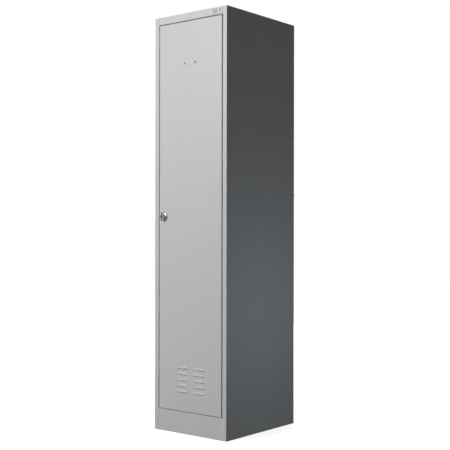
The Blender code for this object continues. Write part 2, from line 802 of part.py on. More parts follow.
# ---------------------------------------------------------------- hinge pivots
def reinforcement(name, centre, size, past_axis, hole):
    """A plate welded behind the sheet round the hinge axis, reaching that far past it."""
    high = centre + Vector((past_axis, size[1] / 2, size[2] / 2))
    plate = block(name, high - Vector(size), high, ZINC)
    drill(plate, [(centre, (0, 0, 1), hole, 3 * size[2])])


def pivots():
    """Top and bottom pivots: a pin in the door that turns in a nylon bush in the frame."""
    bush_radius = PIN_RADIUS + GAP + BUSH_WALL
    half_plate = min(HINGE_BACK, DOOR_DEPTH - HINGE_BACK) - BEND
    y = y_at(HINGE_BACK)
    for end, door_edge, frame_face, up in (
        ("upper", DOOR_TOP, HEIGHT - HEADER, 1),
        ("lower", DOOR_BOTTOM, PLINTH, -1),
    ):
        turn = None if up > 0 else HALF_TURN
        edge = Vector((HINGE_X, y, door_edge))
        face = Vector((HINGE_X, y, frame_face))
        gap = abs(frame_face - door_edge)
        through = LINER + HINGE_BRACKET + 3 * GAP  # frame sheet and bracket
        pin_top = gap + through + GAP
        head_top = -(LINER + PIVOT_PLATE + GAP)
        pin = [
            (0, pin_top),
            (PIN_RADIUS * 0.8, pin_top),
            (PIN_RADIUS, pin_top - PIN_RADIUS * 0.2),
            (PIN_RADIUS, head_top),
            (PIN_HEAD_RADIUS, head_top),
            (PIN_HEAD_RADIUS, head_top - PIN_HEAD),
            (0, head_top - PIN_HEAD),
        ]
        smooth(turned("pivot_pin_" + end, pin, ZINC, edge, turn))
        bush = [
            (bush_radius, through),
            (bush_radius, -GAP),
            (BUSH_FLANGE_RADIUS, -GAP),
            (BUSH_FLANGE_RADIUS, -GAP - BUSH_FLANGE),
            (PIN_RADIUS + GAP, -GAP - BUSH_FLANGE),
            (PIN_RADIUS + GAP, through),
        ]
        smooth(turned("hinge_bush_" + end, bush, NYLON, face, turn, closed=True))
        reinforcement(
            "pivot_plate_" + end,
            edge - Vector((0, 0, up * (LINER + PIVOT_PLATE / 2))),
            (PIVOT_PLATE_LENGTH, 2 * half_plate, PIVOT_PLATE),
            HINGE_INSET - BEND,
            PIN_RADIUS + GAP,
        )
        reinforcement(
            "hinge_bracket_" + end,
            face + Vector((0, 0, up * (LINER + HINGE_BRACKET / 2))),
            (HINGE_BRACKET_LENGTH, 2 * (HINGE_BACK - BEND), HINGE_BRACKET),
            HINGE_INSET + DOOR_GAP_HINGE / 2,
            bush_radius + GAP,
        )
    top = DOOR_BOTTOM - GAP
    thick = DOOR_GAP_BOTTOM - BUSH_FLANGE - 3 * GAP
    washer = ring_profile(BUSH_FLANGE_RADIUS, PIN_RADIUS + GAP, 0, -thick)
    place = (HINGE_X, y, top)
    smooth(turned("hinge_washer", washer, ZINC, place, closed=True))


def door_buffers():
    """Rubber buttons on the latch post's stop, where the door's lip closes."""
    left = DOOR_LEFT
    right = LEFT + LATCH_POST + STOP
    x = (left + right) / 2
    places = (
        ("door_buffer_upper", DOOR_TOP - BUFFER_FROM_ENDS),
        ("door_buffer_middle", (DOOR_TOP + DOOR_BOTTOM) / 2 + BUFFER_FROM_ENDS),
        ("door_buffer_lower", DOOR_BOTTOM + BUFFER_FROM_ENDS),
    )
    profile = disc_profile(BUFFER_RADIUS, BUFFER, 0, chamfer=BUFFER / 5)
    for name, z in places:
        smooth(turned(name, profile, BLACK_RUBBER, (x, y_at(REBATE - GAP), z), ALONG_Y))


# ---------------------------------------------------------------- latch
def latch_place(depth):
    """A point on the latch's axis, that far behind the door's face."""
    return (KNOB_X, y_at(depth), KNOB_Z)


def latch_housing():
    """The rosette with its threaded barrel through the door, and the nut behind."""
    bore = SPINDLE_RADIUS + GAP
    edge = ROSETTE / 4
    profile = [
        (ROSETTE_RADIUS * 0.62, ROSETTE + GAP),
        (ROSETTE_RADIUS * 0.86, ROSETTE + GAP - edge),
        (ROSETTE_RADIUS * 0.97, ROSETTE + GAP - 2.2 * edge),
        (ROSETTE_RADIUS, GAP + edge),
        (ROSETTE_RADIUS, GAP),
        (BARREL_RADIUS, GAP),
        (BARREL_RADIUS, -BARREL_BACK),
        (bore, -BARREL_BACK),
        (bore, ROSETTE + GAP),
    ]
    place = latch_place(0)
    smooth(turned("latch_housing", profile, CHROME, place, ALONG_Y, closed=True))
    bm = bmesh.new()
    bmesh.ops.create_cone(
        bm,
        cap_ends=True,
        segments=6,
        radius1=NUT_ACROSS_FLATS / math.sqrt(3),
        radius2=NUT_ACROSS_FLATS / math.sqrt(3),
        depth=NUT,
    )
    middle = LINER + NUT / 2
    nut = add_part("latch_nut", as_mesh("latch_nut", bm), ZINC, latch_place(middle), ALONG_Y)
    drill(nut, [(latch_place(middle), (0, 1, 0), BARREL_RADIUS + GAP, 3 * NUT)])


def latch_knob():
    """The wing knob with its spindle, and the key plug in its middle."""
    base = GAP + ROSETTE + GAP
    top = base + KNOB_HEIGHT
    end = CAM_FRONT - GAP
    profile = [
        (0, top),
        (HUB_RADIUS - WING_THICKNESS / 8, top),
        (HUB_RADIUS, top - WING_THICKNESS / 8),
        (HUB_RADIUS * 1.25, base + KNOB_HEIGHT / 4),
        (HUB_RADIUS * 1.4, base),
        (SPINDLE_RADIUS, base),
        (SPINDLE_RADIUS, -end),
        (0, -end),
    ]
    knob = turned("latch_knob", profile, CHROME, latch_place(0), ALONG_Y)
    wing = bmesh.new()
    half = WING_THICKNESS / 2
    box_bmesh(wing, (-half, base + 3 * GAP, -WING_LENGTH / 2), (half, top, WING_LENGTH / 2))
    rims = [e for e in wing.edges if abs(e.verts[0].co.z - e.verts[1].co.z) < GAP]
    bmesh.ops.bevel(
        wing, geom=rims, offset=half * 0.8, segments=2, profile=0.5, affect="EDGES", material=-1
    )
    turn = Matrix.Rotation(math.pi, 4, "Z")
    bmesh.ops.transform(wing, matrix=Matrix.Translation(latch_place(0)) @ turn, verts=wing.verts[:])
    boolean(knob, "UNION", helper("knob_wing", wing))
    drill(
        knob,
        [
            (latch_place(-top), (0, 1, 0), PLUG_RADIUS + GAP, 2 * (PLUG_DEPTH + GAP)),
            (latch_place(end), (0, 1, 0), CAM_SCREW_RADIUS + GAP, 2 * (CAM_SCREW_BITE + GAP)),
        ],
    )
    plug_face = top - 2 * GAP
    plug = turned(
        "key_plug",
        disc_profile(PLUG_RADIUS, 0, -PLUG_DEPTH + 2 * GAP, chamfer=GAP),
        CHROME,
        latch_place(-plug_face),
        ALONG_Y,
    )
    slot = bmesh.new()
    wide, tall = KEYWAY
    x, y, z = latch_place(-plug_face)
    box_bmesh(
        slot,
        (x - wide / 2, y - GAP, z - tall / 2),
        (x + wide / 2, y + PLUG_DEPTH * 0.6, z + tall / 2),
    )
    boolean(plug, "DIFFERENCE", helper("keyway", slot))


def latch_cam():
    """The tongue behind the door, with its washer and screw. At rest it points down, unlatched."""
    radius = CAM_WIDTH / 2
    bm = bmesh.new()
    bmesh.ops.create_cone(
        bm, cap_ends=True, segments=SIDES, radius1=radius, radius2=radius, depth=CAM
    )
    lower = [v for v in bm.verts if v.co.y < -GAP]
    bmesh.ops.translate(bm, vec=(0, radius - CAM_LENGTH, 0), verts=lower)
    for vert in lower:
        vert.co.x *= CAM_TAPER
    place = latch_place(CAM_FRONT + CAM / 2)
    cam = add_part("latch_cam", as_mesh("latch_cam", bm), ZINC, place, ALONG_Y)
    drill(cam, [(place, (0, 1, 0), CAM_SCREW_RADIUS + GAP, 3 * CAM)])
    washer_face = CAM_FRONT + CAM + GAP
    washer = ring_profile(CAM_SCREW_HEAD_RADIUS * 1.25, CAM_SCREW_RADIUS + GAP, 0, -WASHER)
    smooth(turned("cam_washer", washer, ZINC, latch_place(washer_face), ALONG_Y, closed=True))
    head_face = washer_face + WASHER + GAP
    reach = head_face - (CAM_FRONT - GAP) + CAM_SCREW_BITE
    screw = [
        (0, reach),
        (CAM_SCREW_RADIUS, reach),
        (CAM_SCREW_RADIUS, 0),
        (CAM_SCREW_HEAD_RADIUS, 0),
        (CAM_SCREW_HEAD_RADIUS, -CAM_SCREW_HEAD * 0.7),
        (CAM_SCREW_HEAD_RADIUS * 0.7, -CAM_SCREW_HEAD),
        (0, -CAM_SCREW_HEAD),
    ]
    smooth(turned("cam_screw", screw, ZINC, latch_place(head_face), ALONG_Y))


side_panels()
header_and_plinth()
back_panel()
roof_and_floor()
rear_screws()
header_label()
hat_shelf()
hanging_rail()
coat_hooks()
door_panel()
number_plate()
pivots()
door_buffers()
latch_housing()
latch_knob()
latch_cam()
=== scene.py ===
"""Looks of a single-door steel clothes locker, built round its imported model.

The carcass, the door, the latch, the number plate and the fittings are classes. Each builds the
finer meshes of its own pieces, dresses them in a finish and lets them ride on a body of the model.
Lengths are in metres, +Z is up, and the door faces -Y and hangs on its +X edge.
"""

import logging
import math
from collections.abc import Iterable, Sequence
from dataclasses import dataclass, field
from enum import Enum

import bmesh
import bpy
from mathutils import Matrix, Vector


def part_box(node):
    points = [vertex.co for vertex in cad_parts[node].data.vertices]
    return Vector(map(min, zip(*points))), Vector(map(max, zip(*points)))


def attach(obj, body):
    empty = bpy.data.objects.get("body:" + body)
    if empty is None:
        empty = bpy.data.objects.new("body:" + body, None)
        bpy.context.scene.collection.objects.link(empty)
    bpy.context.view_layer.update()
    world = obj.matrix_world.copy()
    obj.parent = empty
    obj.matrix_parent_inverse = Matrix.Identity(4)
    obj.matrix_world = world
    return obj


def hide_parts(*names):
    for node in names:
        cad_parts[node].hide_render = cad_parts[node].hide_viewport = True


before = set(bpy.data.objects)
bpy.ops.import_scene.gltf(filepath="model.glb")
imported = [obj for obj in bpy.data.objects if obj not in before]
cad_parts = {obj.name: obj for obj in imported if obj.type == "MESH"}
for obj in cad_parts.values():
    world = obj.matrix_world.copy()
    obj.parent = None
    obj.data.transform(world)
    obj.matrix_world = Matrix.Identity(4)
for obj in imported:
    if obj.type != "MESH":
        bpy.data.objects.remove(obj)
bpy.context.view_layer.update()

LOG = logging.getLogger("locker")

SHEET = 0.0008
BEND = 0.0016
GAP = 0.0003
FINE = 48
ROUND = 32
CRISP = 30.0
CLOSE = 1e-6
AHEAD = (0, -1, 0)
REAR = (0, 1, 0)
WHITE = (1.0, 1.0, 1.0, 1.0)


class Body(Enum):
    """The bodies of the model that pieces ride on."""

    CARCASS = "carcass"
    DOOR = "door"
    LATCH = "latch"
    KEY = "key"


class Slot(Enum):
    """The record's material slots."""

    PAINT = "grey_paint"
    CHROME = "chrome"
    ZINC = "zinc_steel"
    WHITE_NYLON = "white_nylon"
    BLACK_NYLON = "black_nylon"
    RUBBER = "black_rubber"
    PLATE = "plate_plastic"
    LABEL = "label_film"


# ------------------------------------------------------------------------------ shader graphs
class Value:
    """A shader socket that adds Math nodes where Python's operators use it."""

    def __init__(self, graph: "ShaderGraph", socket: bpy.types.NodeSocket) -> None:
        """Wraps a socket of a graph."""
        self.graph = graph
        self.socket = socket

    def math(self, operation: str, *operands: "Value | float") -> "Value":
        """Returns the result of a Math node on these operands."""
        return self.graph.node("ShaderNodeMath", {"operation": operation}, dict(enumerate(operands)))

    def __add__(self, other: "Value | float") -> "Value":
        """Returns the sum."""
        return self.math("ADD", self, other)

    def __radd__(self, other: float) -> "Value":
        """Returns the sum with a number in front."""
        return self.math("ADD", other, self)

    def __sub__(self, other: "Value | float") -> "Value":
        """Returns the difference."""
        return self.math("SUBTRACT", self, other)

    def __mul__(self, other: "Value | float") -> "Value":
        """Returns the product."""
        return self.math("MULTIPLY", self, other)

    def ramp(self, low: float, high: float) -> "Value":
        """Returns 0 below low, 1 above high and a smooth step between; low may be above high."""
        settings = {"interpolation_type": "SMOOTHSTEP"}
        return self.graph.node(
            "ShaderNodeMapRange", settings, {"Value": self, "From Min": low, "From Max": high}
        )


class ShaderGraph:
    """A material under construction, with its Principled shader."""

    def __init__(self, name: str) -> None:
        """Makes the material.

        Args:
            name: the material's name.
        """
        self.material = bpy.data.materials.new(name)
        self.material.use_nodes = True
        self.tree = self.material.node_tree
        self.shader = self.tree.nodes["Principled BSDF"]

    def node(
        self,
        kind: str,
        settings: dict[str, object] | None = None,
        sockets: dict[int | str, object] | None = None,
        output: int | str = 0,
    ) -> Value:
        """Adds a node.

        Args:
            kind: the node's type.
            settings: its own properties, which are set first.
            sockets: what goes into each input, a Value or a constant.
            output: the output to return.

        Returns:
            The output as a Value.
        """
        made = self.tree.nodes.new(kind)
        for key, setting in (settings or {}).items():
            setattr(made, key, setting)
        for key, operand in (sockets or {}).items():
            self.feed(made.inputs[key], operand)
        return Value(self, made.outputs[output])

    def feed(self, socket: bpy.types.NodeSocket, operand: object) -> None:
        """Links a Value to a socket, or sets a constant on it."""
        if isinstance(operand, Value):
            self.tree.links.new(operand.socket, socket)
        else:
            socket.default_value = operand

    def place(self) -> Value:
        """Returns the object coordinates."""
        return self.node("ShaderNodeTexCoord", output="Object")

    def along(self) -> tuple[Value, Value, Value]:
        """Returns the three object coordinates as numbers."""
        split = self.node("ShaderNodeSeparateXYZ", sockets={0: self.place()})
        outputs = split.socket.node.outputs
        return Value(self, outputs[0]), Value(self, outputs[1]), Value(self, outputs[2])

    def stretched(self, scale: Sequence[float]) -> Value:
        """Returns object coordinates multiplied along each axis."""
        return self.node("ShaderNodeMapping", sockets={"Vector": self.place(), "Scale": scale})

    def noise(
        self, scale: float, detail: float = 2.0, rough: float = 0.5, place: Value | None = None
    ) -> Value:
        """Adds fractal noise.

        Args:
            scale: its frequency per metre.
            detail: its octaves.
            rough: how much the fine octaves weigh.
            place: the coordinates, the object's own if not given.

        Returns:
            The noise, about 0 to 1.
        """
        sockets = {
            "Vector": place or self.place(),
            "Scale": scale,
            "Detail": detail,
            "Roughness": rough,
        }
        return self.node("ShaderNodeTexNoise", sockets=sockets)

    def blend(self, first: object, second: object, share: Value | float) -> Value:
        """Returns the first colour going over to the second by share."""
        return self.node(
            "ShaderNodeMix", {"data_type": "RGBA"}, {0: share, 6: first, 7: second}, output=2
        )

    def bump(self, height: Value, distance: float, strength: float = 1.0) -> Value:
        """Returns a normal bent by a height of 0 to 1 that stands for this distance."""
        sockets = {"Strength": strength, "Distance": distance, "Height": height}
        return self.node("ShaderNodeBump", sockets=sockets)

    def surface(self, **inputs: object) -> bpy.types.Material:
        """Sets the shader's inputs, given as Base_Color and so on.

        Returns:
            The finished material.
        """
        for key, operand in inputs.items():
            self.feed(self.shader.inputs[key.replace("_", " ")], operand)
        return self.material


def rgba(colour: Sequence[float], gain: float = 1.0) -> tuple[float, float, float, float]:
    """Returns a linear colour with alpha 1, made lighter or darker by gain."""
    red, green, blue = (min(1.0, part * gain) for part in colour)
    return (red, green, blue, 1.0)


# ------------------------------------------------------------------------------ finishes
@dataclass(frozen=True)
class PowderCoat:
    """Fine-texture polyester powder on steel, with light handling wear where asked."""

    name: str
    slot: Slot = Slot.PAINT
    colour: tuple[float, float, float] = (0.575, 0.585, 0.598)
    roughness: float = 0.40
    scuff_top: float = 0.11
    handled: tuple[float, float] | None = None
    handled_radius: float = 0.075

    def material(self) -> bpy.types.Material:
        """Returns the coat, with orange peel, faint mottling, floor scuffs and key scratches."""
        graph = ShaderGraph(self.name)
        across, _, up = graph.along()
        peel = graph.noise(420.0, 1.5)
        grain = graph.noise(2100.0, 1.0)
        mottle = graph.noise(7.0, 3.0, 0.6)
        cloud = graph.noise(1.6, 2.0)
        dust = up.ramp(0.34, 0.0) * graph.noise(24.0, 4.0, 0.65).ramp(0.35, 0.75)
        drag = graph.noise(1.0, 3.0, 0.7, graph.stretched((22.0, 22.0, 520.0)))
        scuff = drag.ramp(0.66, 0.72) * up.ramp(self.scuff_top, self.scuff_top * 0.4)
        base = graph.blend(rgba(self.colour, 0.975), rgba(self.colour, 1.02), mottle)
        base = graph.blend(base, rgba(self.colour, 0.97), cloud.ramp(0.4, 0.8) * 0.5)
        base = graph.blend(base, rgba((0.42, 0.40, 0.37)), dust * 0.16)
        base = graph.blend(base, rgba((0.24, 0.24, 0.25)), scuff * 0.35)
        rough = self.roughness + (mottle - 0.5) * 0.10 + dust * 0.18 + scuff * 0.1
        height = peel * 0.65 + grain * 0.35
        if self.handled:
            reach_x = across - self.handled[0]
            reach_z = up - self.handled[1]
            near = (reach_x * reach_x + reach_z * reach_z).ramp(self.handled_radius**2, 0.0004)
            hair = graph.noise(1.0, 2.0, 0.6, graph.stretched((260.0, 60.0, 900.0)))
            scratch = hair.ramp(0.70, 0.74) * near
            base = graph.blend(base, rgba(self.colour, 1.22), scratch * 0.5)
            rough = rough - near * 0.06 + scratch * 0.1
            height = height - scratch * 0.5
        return graph.surface(
            Base_Color=base, Roughness=rough, Normal=graph.bump(height, 0.00012, 0.55)
        )


@dataclass(frozen=True)
class Plating:
    """Bright or dull metal plating with polishing marks or spangle."""

    name: str
    slot: Slot
    colour: tuple[float, float, float]
    roughness: float
    blotch: float
    hairline: float

    def material(self) -> bpy.types.Material:
        """Returns the plated metal."""
        graph = ShaderGraph(self.name)
        blotch = graph.noise(90.0, 4.0, 0.6)
        smear = graph.noise(420.0, 2.0)
        hair = graph.noise(1.0, 2.0, 0.7, graph.stretched((1400.0, 900.0, 160.0)))
        tint = graph.blend(
            rgba(self.colour, 1.0 - self.blotch), rgba(self.colour, 1.0 + self.blotch), blotch
        )
        rough = self.roughness + smear.ramp(0.35, 0.8) * self.roughness * 0.6
        rough = rough + hair.ramp(0.6, 0.75) * self.hairline
        height = hair * 0.5 + smear * 0.5
        return graph.surface(
            Base_Color=tint,
            Metallic=1.0,
            Roughness=rough,
            Normal=graph.bump(height, 0.00002, 0.3 * self.hairline / 0.1),
        )


@dataclass(frozen=True)
class Moulding:
    """Moulded plastic or rubber with a fine spark-eroded grain."""

    name: str
    slot: Slot
    colour: tuple[float, float, float]
    roughness: float
    grain: float = 0.00004

    def material(self) -> bpy.types.Material:
        """Returns the moulded material."""
        graph = ShaderGraph(self.name)
        grain = graph.noise(2600.0, 2.0)
        flow = graph.noise(140.0, 3.0)
        tint = graph.blend(rgba(self.colour, 0.93), rgba(self.colour, 1.06), flow)
        rough = self.roughness + (flow - 0.5) * 0.12
        return graph.surface(
            Base_Color=tint, Roughness=rough, Normal=graph.bump(grain, self.grain, 0.5)
        )


@dataclass(frozen=True)
class PrintedFilm:
    """A pale film with one plain block of colour at its left and a plain panel beside it."""

    name: str
    slot: Slot
    middle: tuple[float, float]
    half: tuple[float, float]
    film: tuple[float, float, float] = (0.62, 0.62, 0.63)
    block: tuple[float, float, float] = (0.47, 0.38, 0.39)
    panel: tuple[float, float, float] = (0.37, 0.38, 0.41)
    block_window: tuple[float, float, float, float] = (-0.56, 0.32, -0.84, 0.84)
    panel_window: tuple[float, float, float, float] = (0.62, 0.96, -0.72, 0.78)
    print_edge: float = 0.00012

    def window(self, graph: ShaderGraph, shares: Sequence[float]) -> Value:
        """Returns 1 inside a window.

        Args:
            graph: the material's graph.
            shares: the window's left, right, bottom and top, as shares of the film's half sizes.

        Returns:
            The mask.
        """
        across, _, up = graph.along()
        mask = None
        for axis, along, (low, high) in ((0, across, shares[:2]), (1, up, shares[2:])):
            start = self.middle[axis] + low * self.half[axis]
            end = self.middle[axis] + high * self.half[axis]
            inside = along.ramp(start - self.print_edge, start) * along.ramp(end, end - self.print_edge)
            mask = mask * inside if mask else inside
        return mask

    def material(self) -> bpy.types.Material:
        """Returns the printed film."""
        graph = ShaderGraph(self.name)
        ink = graph.noise(900.0, 2.0)
        base = graph.blend(rgba(self.film, 0.97), rgba(self.film, 1.03), ink)
        block = self.window(graph, self.block_window)
        panel = self.window(graph, self.panel_window)
        base = graph.blend(base, rgba(self.block), block)
        base = graph.blend(base, rgba(self.panel), panel)
        rough = 0.30 + ink * 0.12 + block * 0.06
        return graph.surface(Base_Color=base, Roughness=rough, Normal=graph.bump(ink, 0.00001, 0.3))


class Finishes:
    """Every finish of the locker, each made into a material once."""

    def __init__(self, latch: Vector, label: tuple[Vector, Vector]) -> None:
        """Makes the materials.

        Args:
            latch: the latch's place, round which the door's paint is handled.
            label: the label's lowest and highest corners.
        """
        middle, half = (label[0] + label[1]) / 2, (label[1] - label[0]) / 2
        finishes = {
            "carcass": PowderCoat("powder_coat_carcass"),
            "door": PowderCoat("powder_coat_door", handled=(latch.x, latch.z)),
            "inside": PowderCoat("powder_coat_inside", roughness=0.46, scuff_top=0.02),
            "chrome": Plating("bright_chrome", Slot.CHROME, (0.74, 0.74, 0.75), 0.20, 0.03, 0.06),
            "rail": Plating("chromed_tube", Slot.CHROME, (0.78, 0.78, 0.79), 0.12, 0.03, 0.10),
            "zinc": Plating("zinc_plating", Slot.ZINC, (0.58, 0.58, 0.56), 0.30, 0.12, 0.14),
            "white_nylon": Moulding("natural_nylon", Slot.WHITE_NYLON, (0.78, 0.77, 0.72), 0.42),
            "black_nylon": Moulding("black_nylon", Slot.BLACK_NYLON, (0.045, 0.045, 0.047), 0.42),
            "rubber": Moulding("buffer_rubber", Slot.RUBBER, (0.030, 0.030, 0.031), 0.80, 0.00008),
            "plate": Moulding("number_plate_plastic", Slot.PLATE, (0.585, 0.595, 0.608), 0.34, 0.00001),
            "label": PrintedFilm(
                "label_film", Slot.LABEL, (middle.x, middle.z), (half.x, half.z)
            ),
        }
        self.slots = {key: finish.slot for key, finish in finishes.items()}
        self.materials = {key: finish.material() for key, finish in finishes.items()}


# ------------------------------------------------------------------------------ mesh making
def rounded(
    points: Iterable[Sequence[float]], radius: float, steps: int = 5, closed: bool = False
) -> list[Vector]:
    """Turns the corners of a flat outline into arcs.

    Args:
        points: the corners, in order.
        radius: the arcs' radius, less where a side is too short for it.
        steps: the straight pieces in one arc.
        closed: whether the last point joins the first.

    Returns:
        The outline's points.
    """
    corners = [Vector(point) for point in points]
    made: list[Vector] = []
    for index, corner in enumerate(corners):
        if not closed and index in (0, len(corners) - 1):
            made.append(corner)
            continue
        back = corners[index - 1] - corner
        ahead = corners[(index + 1) % len(corners)] - corner
        angle = back.angle(ahead)
        if angle > math.radians(176):
            made.append(corner)
            continue
        reach = min(radius / math.tan(angle / 2), 0.48 * back.length, 0.48 * ahead.length)
        middle = (back.normalized() + ahead.normalized()).normalized()
        centre = corner + middle * (reach / math.cos(angle / 2))
        start = corner + back.normalized() * reach - centre
        end = corner + ahead.normalized() * reach - centre
        arc = [start.slerp(end, step / steps) * start.length for step in range(steps + 1)]
        made += [centre + point for point in arc]
    return made


def arc(start: float, end: float, steps: int) -> list[tuple[float, float]]:
    """Returns the points of an arc with radius 1 between two angles in degrees."""
    turns = [math.radians(start + (end - start) * step / steps) for step in range(steps + 1)]
    return [(math.cos(turn), math.sin(turn)) for turn in turns]


def ellipse(half_x: float, half_y: float, count: int) -> list[tuple[float, float]]:
    """Returns the points of an ellipse."""
    return [(half_x * x, half_y * y) for x, y in arc(0.0, 360.0, count)[:-1]]


def mirrored(path: Iterable[Sequence[float]]) -> list[tuple[float, float]]:
    """Returns a sheet's path for the other hand, with its outer face still to the left."""
    return [(-x, y) for x, y in reversed(list(path))]


def facing(axis: Sequence[float], place: Sequence[float]) -> Matrix:
    """Returns the matrix that lays local +Z along an axis and the origin at a place."""
    turn = Vector((0, 0, 1)).rotation_difference(Vector(axis)).to_matrix().to_4x4()
    return Matrix.Translation(place) @ turn


ALONG_X = Matrix(((0, 0, 1, 0), (1, 0, 0, 0), (0, 1, 0, 0), (0, 0, 0, 1)))
ALONG_Y = Matrix.Rotation(math.pi / 2, 4, "X")


class Shape:
    """A mesh under construction."""

    def __init__(self) -> None:
        """Starts with nothing."""
        self.bm = bmesh.new()

    def everything(self) -> list:
        """Returns all vertices, edges and faces."""
        return self.bm.verts[:] + self.bm.edges[:] + self.bm.faces[:]

    def moved(self, matrix: Matrix) -> "Shape":
        """Transforms the whole shape."""
        bmesh.ops.transform(self.bm, matrix=matrix, verts=self.bm.verts[:])
        return self

    def outward(self) -> "Shape":
        """Merges doubles and turns every face outwards."""
        bmesh.ops.remove_doubles(self.bm, verts=self.bm.verts[:], dist=CLOSE)
        bmesh.ops.recalc_face_normals(self.bm, faces=self.bm.faces[:])
        return self

    @classmethod
    def turned(
        cls, profile: Iterable[Sequence[float]], steps: int = FINE, closed: bool = False
    ) -> "Shape":
        """Spins a section of (radius, height) points a full turn about Z.

        Args:
            profile: the section.
            steps: the straight sides of the turn.
            closed: whether the section is a ring that doesn't touch the axis.

        Returns:
            The closed shape.
        """
        shape = cls()
        row = [shape.bm.verts.new((radius, 0, height)) for radius, height in profile]
        pairs = list(zip(row, row[1:])) + ([(row[-1], row[0])] if closed else [])
        edges = [shape.bm.edges.new(pair) for pair in pairs]
        bmesh.ops.spin(
            shape.bm,
            geom=row + edges,
            cent=(0, 0, 0),
            axis=(0, 0, 1),
            angle=2 * math.pi,
            steps=steps,
            use_merge=True,
        )
        return shape.outward()

    @classmethod
    def folded(cls, path: Iterable[Sequence[float]], length: float, bend: float = BEND) -> "Shape":
        """Draws the outer face of a folded sheet out along Z.

        Args:
            path: the folds, with the outer face to the left of the walk.
            length: how far it is drawn.
            bend: the radius of the folds.

        Returns:
            The open surface.
        """
        shape = cls()
        points = rounded(path, bend) if bend else [Vector(point) for point in path]
        row = [shape.bm.verts.new((point.x, point.y, 0)) for point in points]
        edges = [shape.bm.edges.new(pair) for pair in zip(row, row[1:])]
        drawn = bmesh.ops.extrude_edge_only(shape.bm, edges=edges)["geom"]
        ends = [item for item in drawn if isinstance(item, bmesh.types.BMVert)]
        bmesh.ops.translate(shape.bm, vec=(0, 0, length), verts=ends)
        shape.bm.normal_update()
        step = points[1] - points[0]
        if edges[0].link_faces[0].normal.dot(Vector((-step.y, step.x, 0))) < 0:
            bmesh.ops.reverse_faces(shape.bm, faces=shape.bm.faces[:])
        return shape

    @classmethod
    def flat(cls, width: float, height: float) -> "Shape":
        """Makes one upright face in the XY plane, looking along +Z."""
        shape = cls()
        bmesh.ops.create_grid(shape.bm, x_segments=1, y_segments=1, size=0.5)
        bmesh.ops.scale(shape.bm, vec=(width, height, 1), verts=shape.bm.verts[:])
        return shape

    @classmethod
    def rod(cls, radius: float, length: float, sides: int = ROUND) -> "Shape":
        """Makes a plain rod along Z round the origin, for cutting holes."""
        shape = cls()
        bmesh.ops.create_cone(
            shape.bm, cap_ends=True, segments=sides, radius1=radius, radius2=radius, depth=length
        )
        return shape

    @classmethod
    def box(cls, low: Sequence[float], high: Sequence[float]) -> "Shape":
        """Makes a box between two corners."""
        shape = cls()
        low, high = Vector(low), Vector(high)
        size = Matrix.Diagonal((*(high - low), 1))
        matrix = Matrix.Translation((low + high) / 2) @ size
        bmesh.ops.create_cube(shape.bm, size=1, matrix=matrix)
        return shape

    @classmethod
    def lofted(cls, rings: Sequence[Sequence[Sequence[float]]]) -> "Shape":
        """Skins a stack of closed rings with as many points each, and closes both ends.

        Args:
            rings: the rings, from one end of the shape to the other.

        Returns:
            The closed shape.
        """
        shape = cls()
        row = [shape.bm.verts.new(point) for point in rings[0]]
        first = [shape.bm.edges.new(pair) for pair in zip(row, row[1:] + row[:1])]
        edges = first
        for ring in rings[1:]:
            drawn = bmesh.ops.extrude_edge_only(shape.bm, edges=edges)["geom"]
            edges = [item for item in drawn if isinstance(item, bmesh.types.BMEdge)]
            moved = [item for item in drawn if isinstance(item, bmesh.types.BMVert)]
            for vert, point in zip(moved, ring):
                vert.co = point
        bmesh.ops.contextual_create(shape.bm, geom=first)
        bmesh.ops.contextual_create(shape.bm, geom=edges)
        return shape.outward()

    @classmethod
    def stacked(
        cls,
        outline: Iterable[Sequence[float]],
        half: Sequence[float],
        levels: Iterable[tuple[float, float]],
    ) -> "Shape":
        """Skins copies of one outline, each drawn in by its own inset.

        Args:
            outline: the outline's points about the origin.
            half: its half width and half height.
            levels: the inset and the height of each copy.

        Returns:
            The closed shape.
        """
        rings = []
        for inset, height in levels:
            scale_x, scale_y = 1 - inset / half[0], 1 - inset / half[1]
            rings.append([(x * scale_x, y * scale_y, height) for x, y in outline])
        return cls.lofted(rings)

    @classmethod
    def tray(cls, node: str, flange: float) -> "Shape":
        """Folds the outer face of a tray, open below, that fills the top of a node's box."""
        low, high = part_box(node)
        shape = cls.flat(high.x - low.x, high.y - low.y).walls(flange).soften(BEND)
        return shape.moved(Matrix.Translation(((low.x + high.x) / 2, (low.y + high.y) / 2, high.z)))

    @classmethod
    def recess(cls, reach: float, half: float, top: float, depth: float, place: Matrix) -> list["Shape"]:
        """Returns the two cutters of a cross recess in a screw's head.

        Args:
            reach: how far an arm goes from the middle.
            half: half an arm's width.
            top: the height of the head.
            depth: how deep the recess goes.
            place: the screw's place.

        Returns:
            The cutters.
        """
        arms = ((reach, half), (half, reach))
        return [cls.box((-x, -y, top - depth), (x, y, top + 0.001)).moved(place) for x, y in arms]

    def cut(self, axis: Sequence[float], places: Iterable[float]) -> "Shape":
        """Divides the faces at these places along an axis."""
        for place in places:
            point = Vector(axis) * place
            bmesh.ops.bisect_plane(self.bm, geom=self.everything(), plane_co=point, plane_no=axis)
        return self

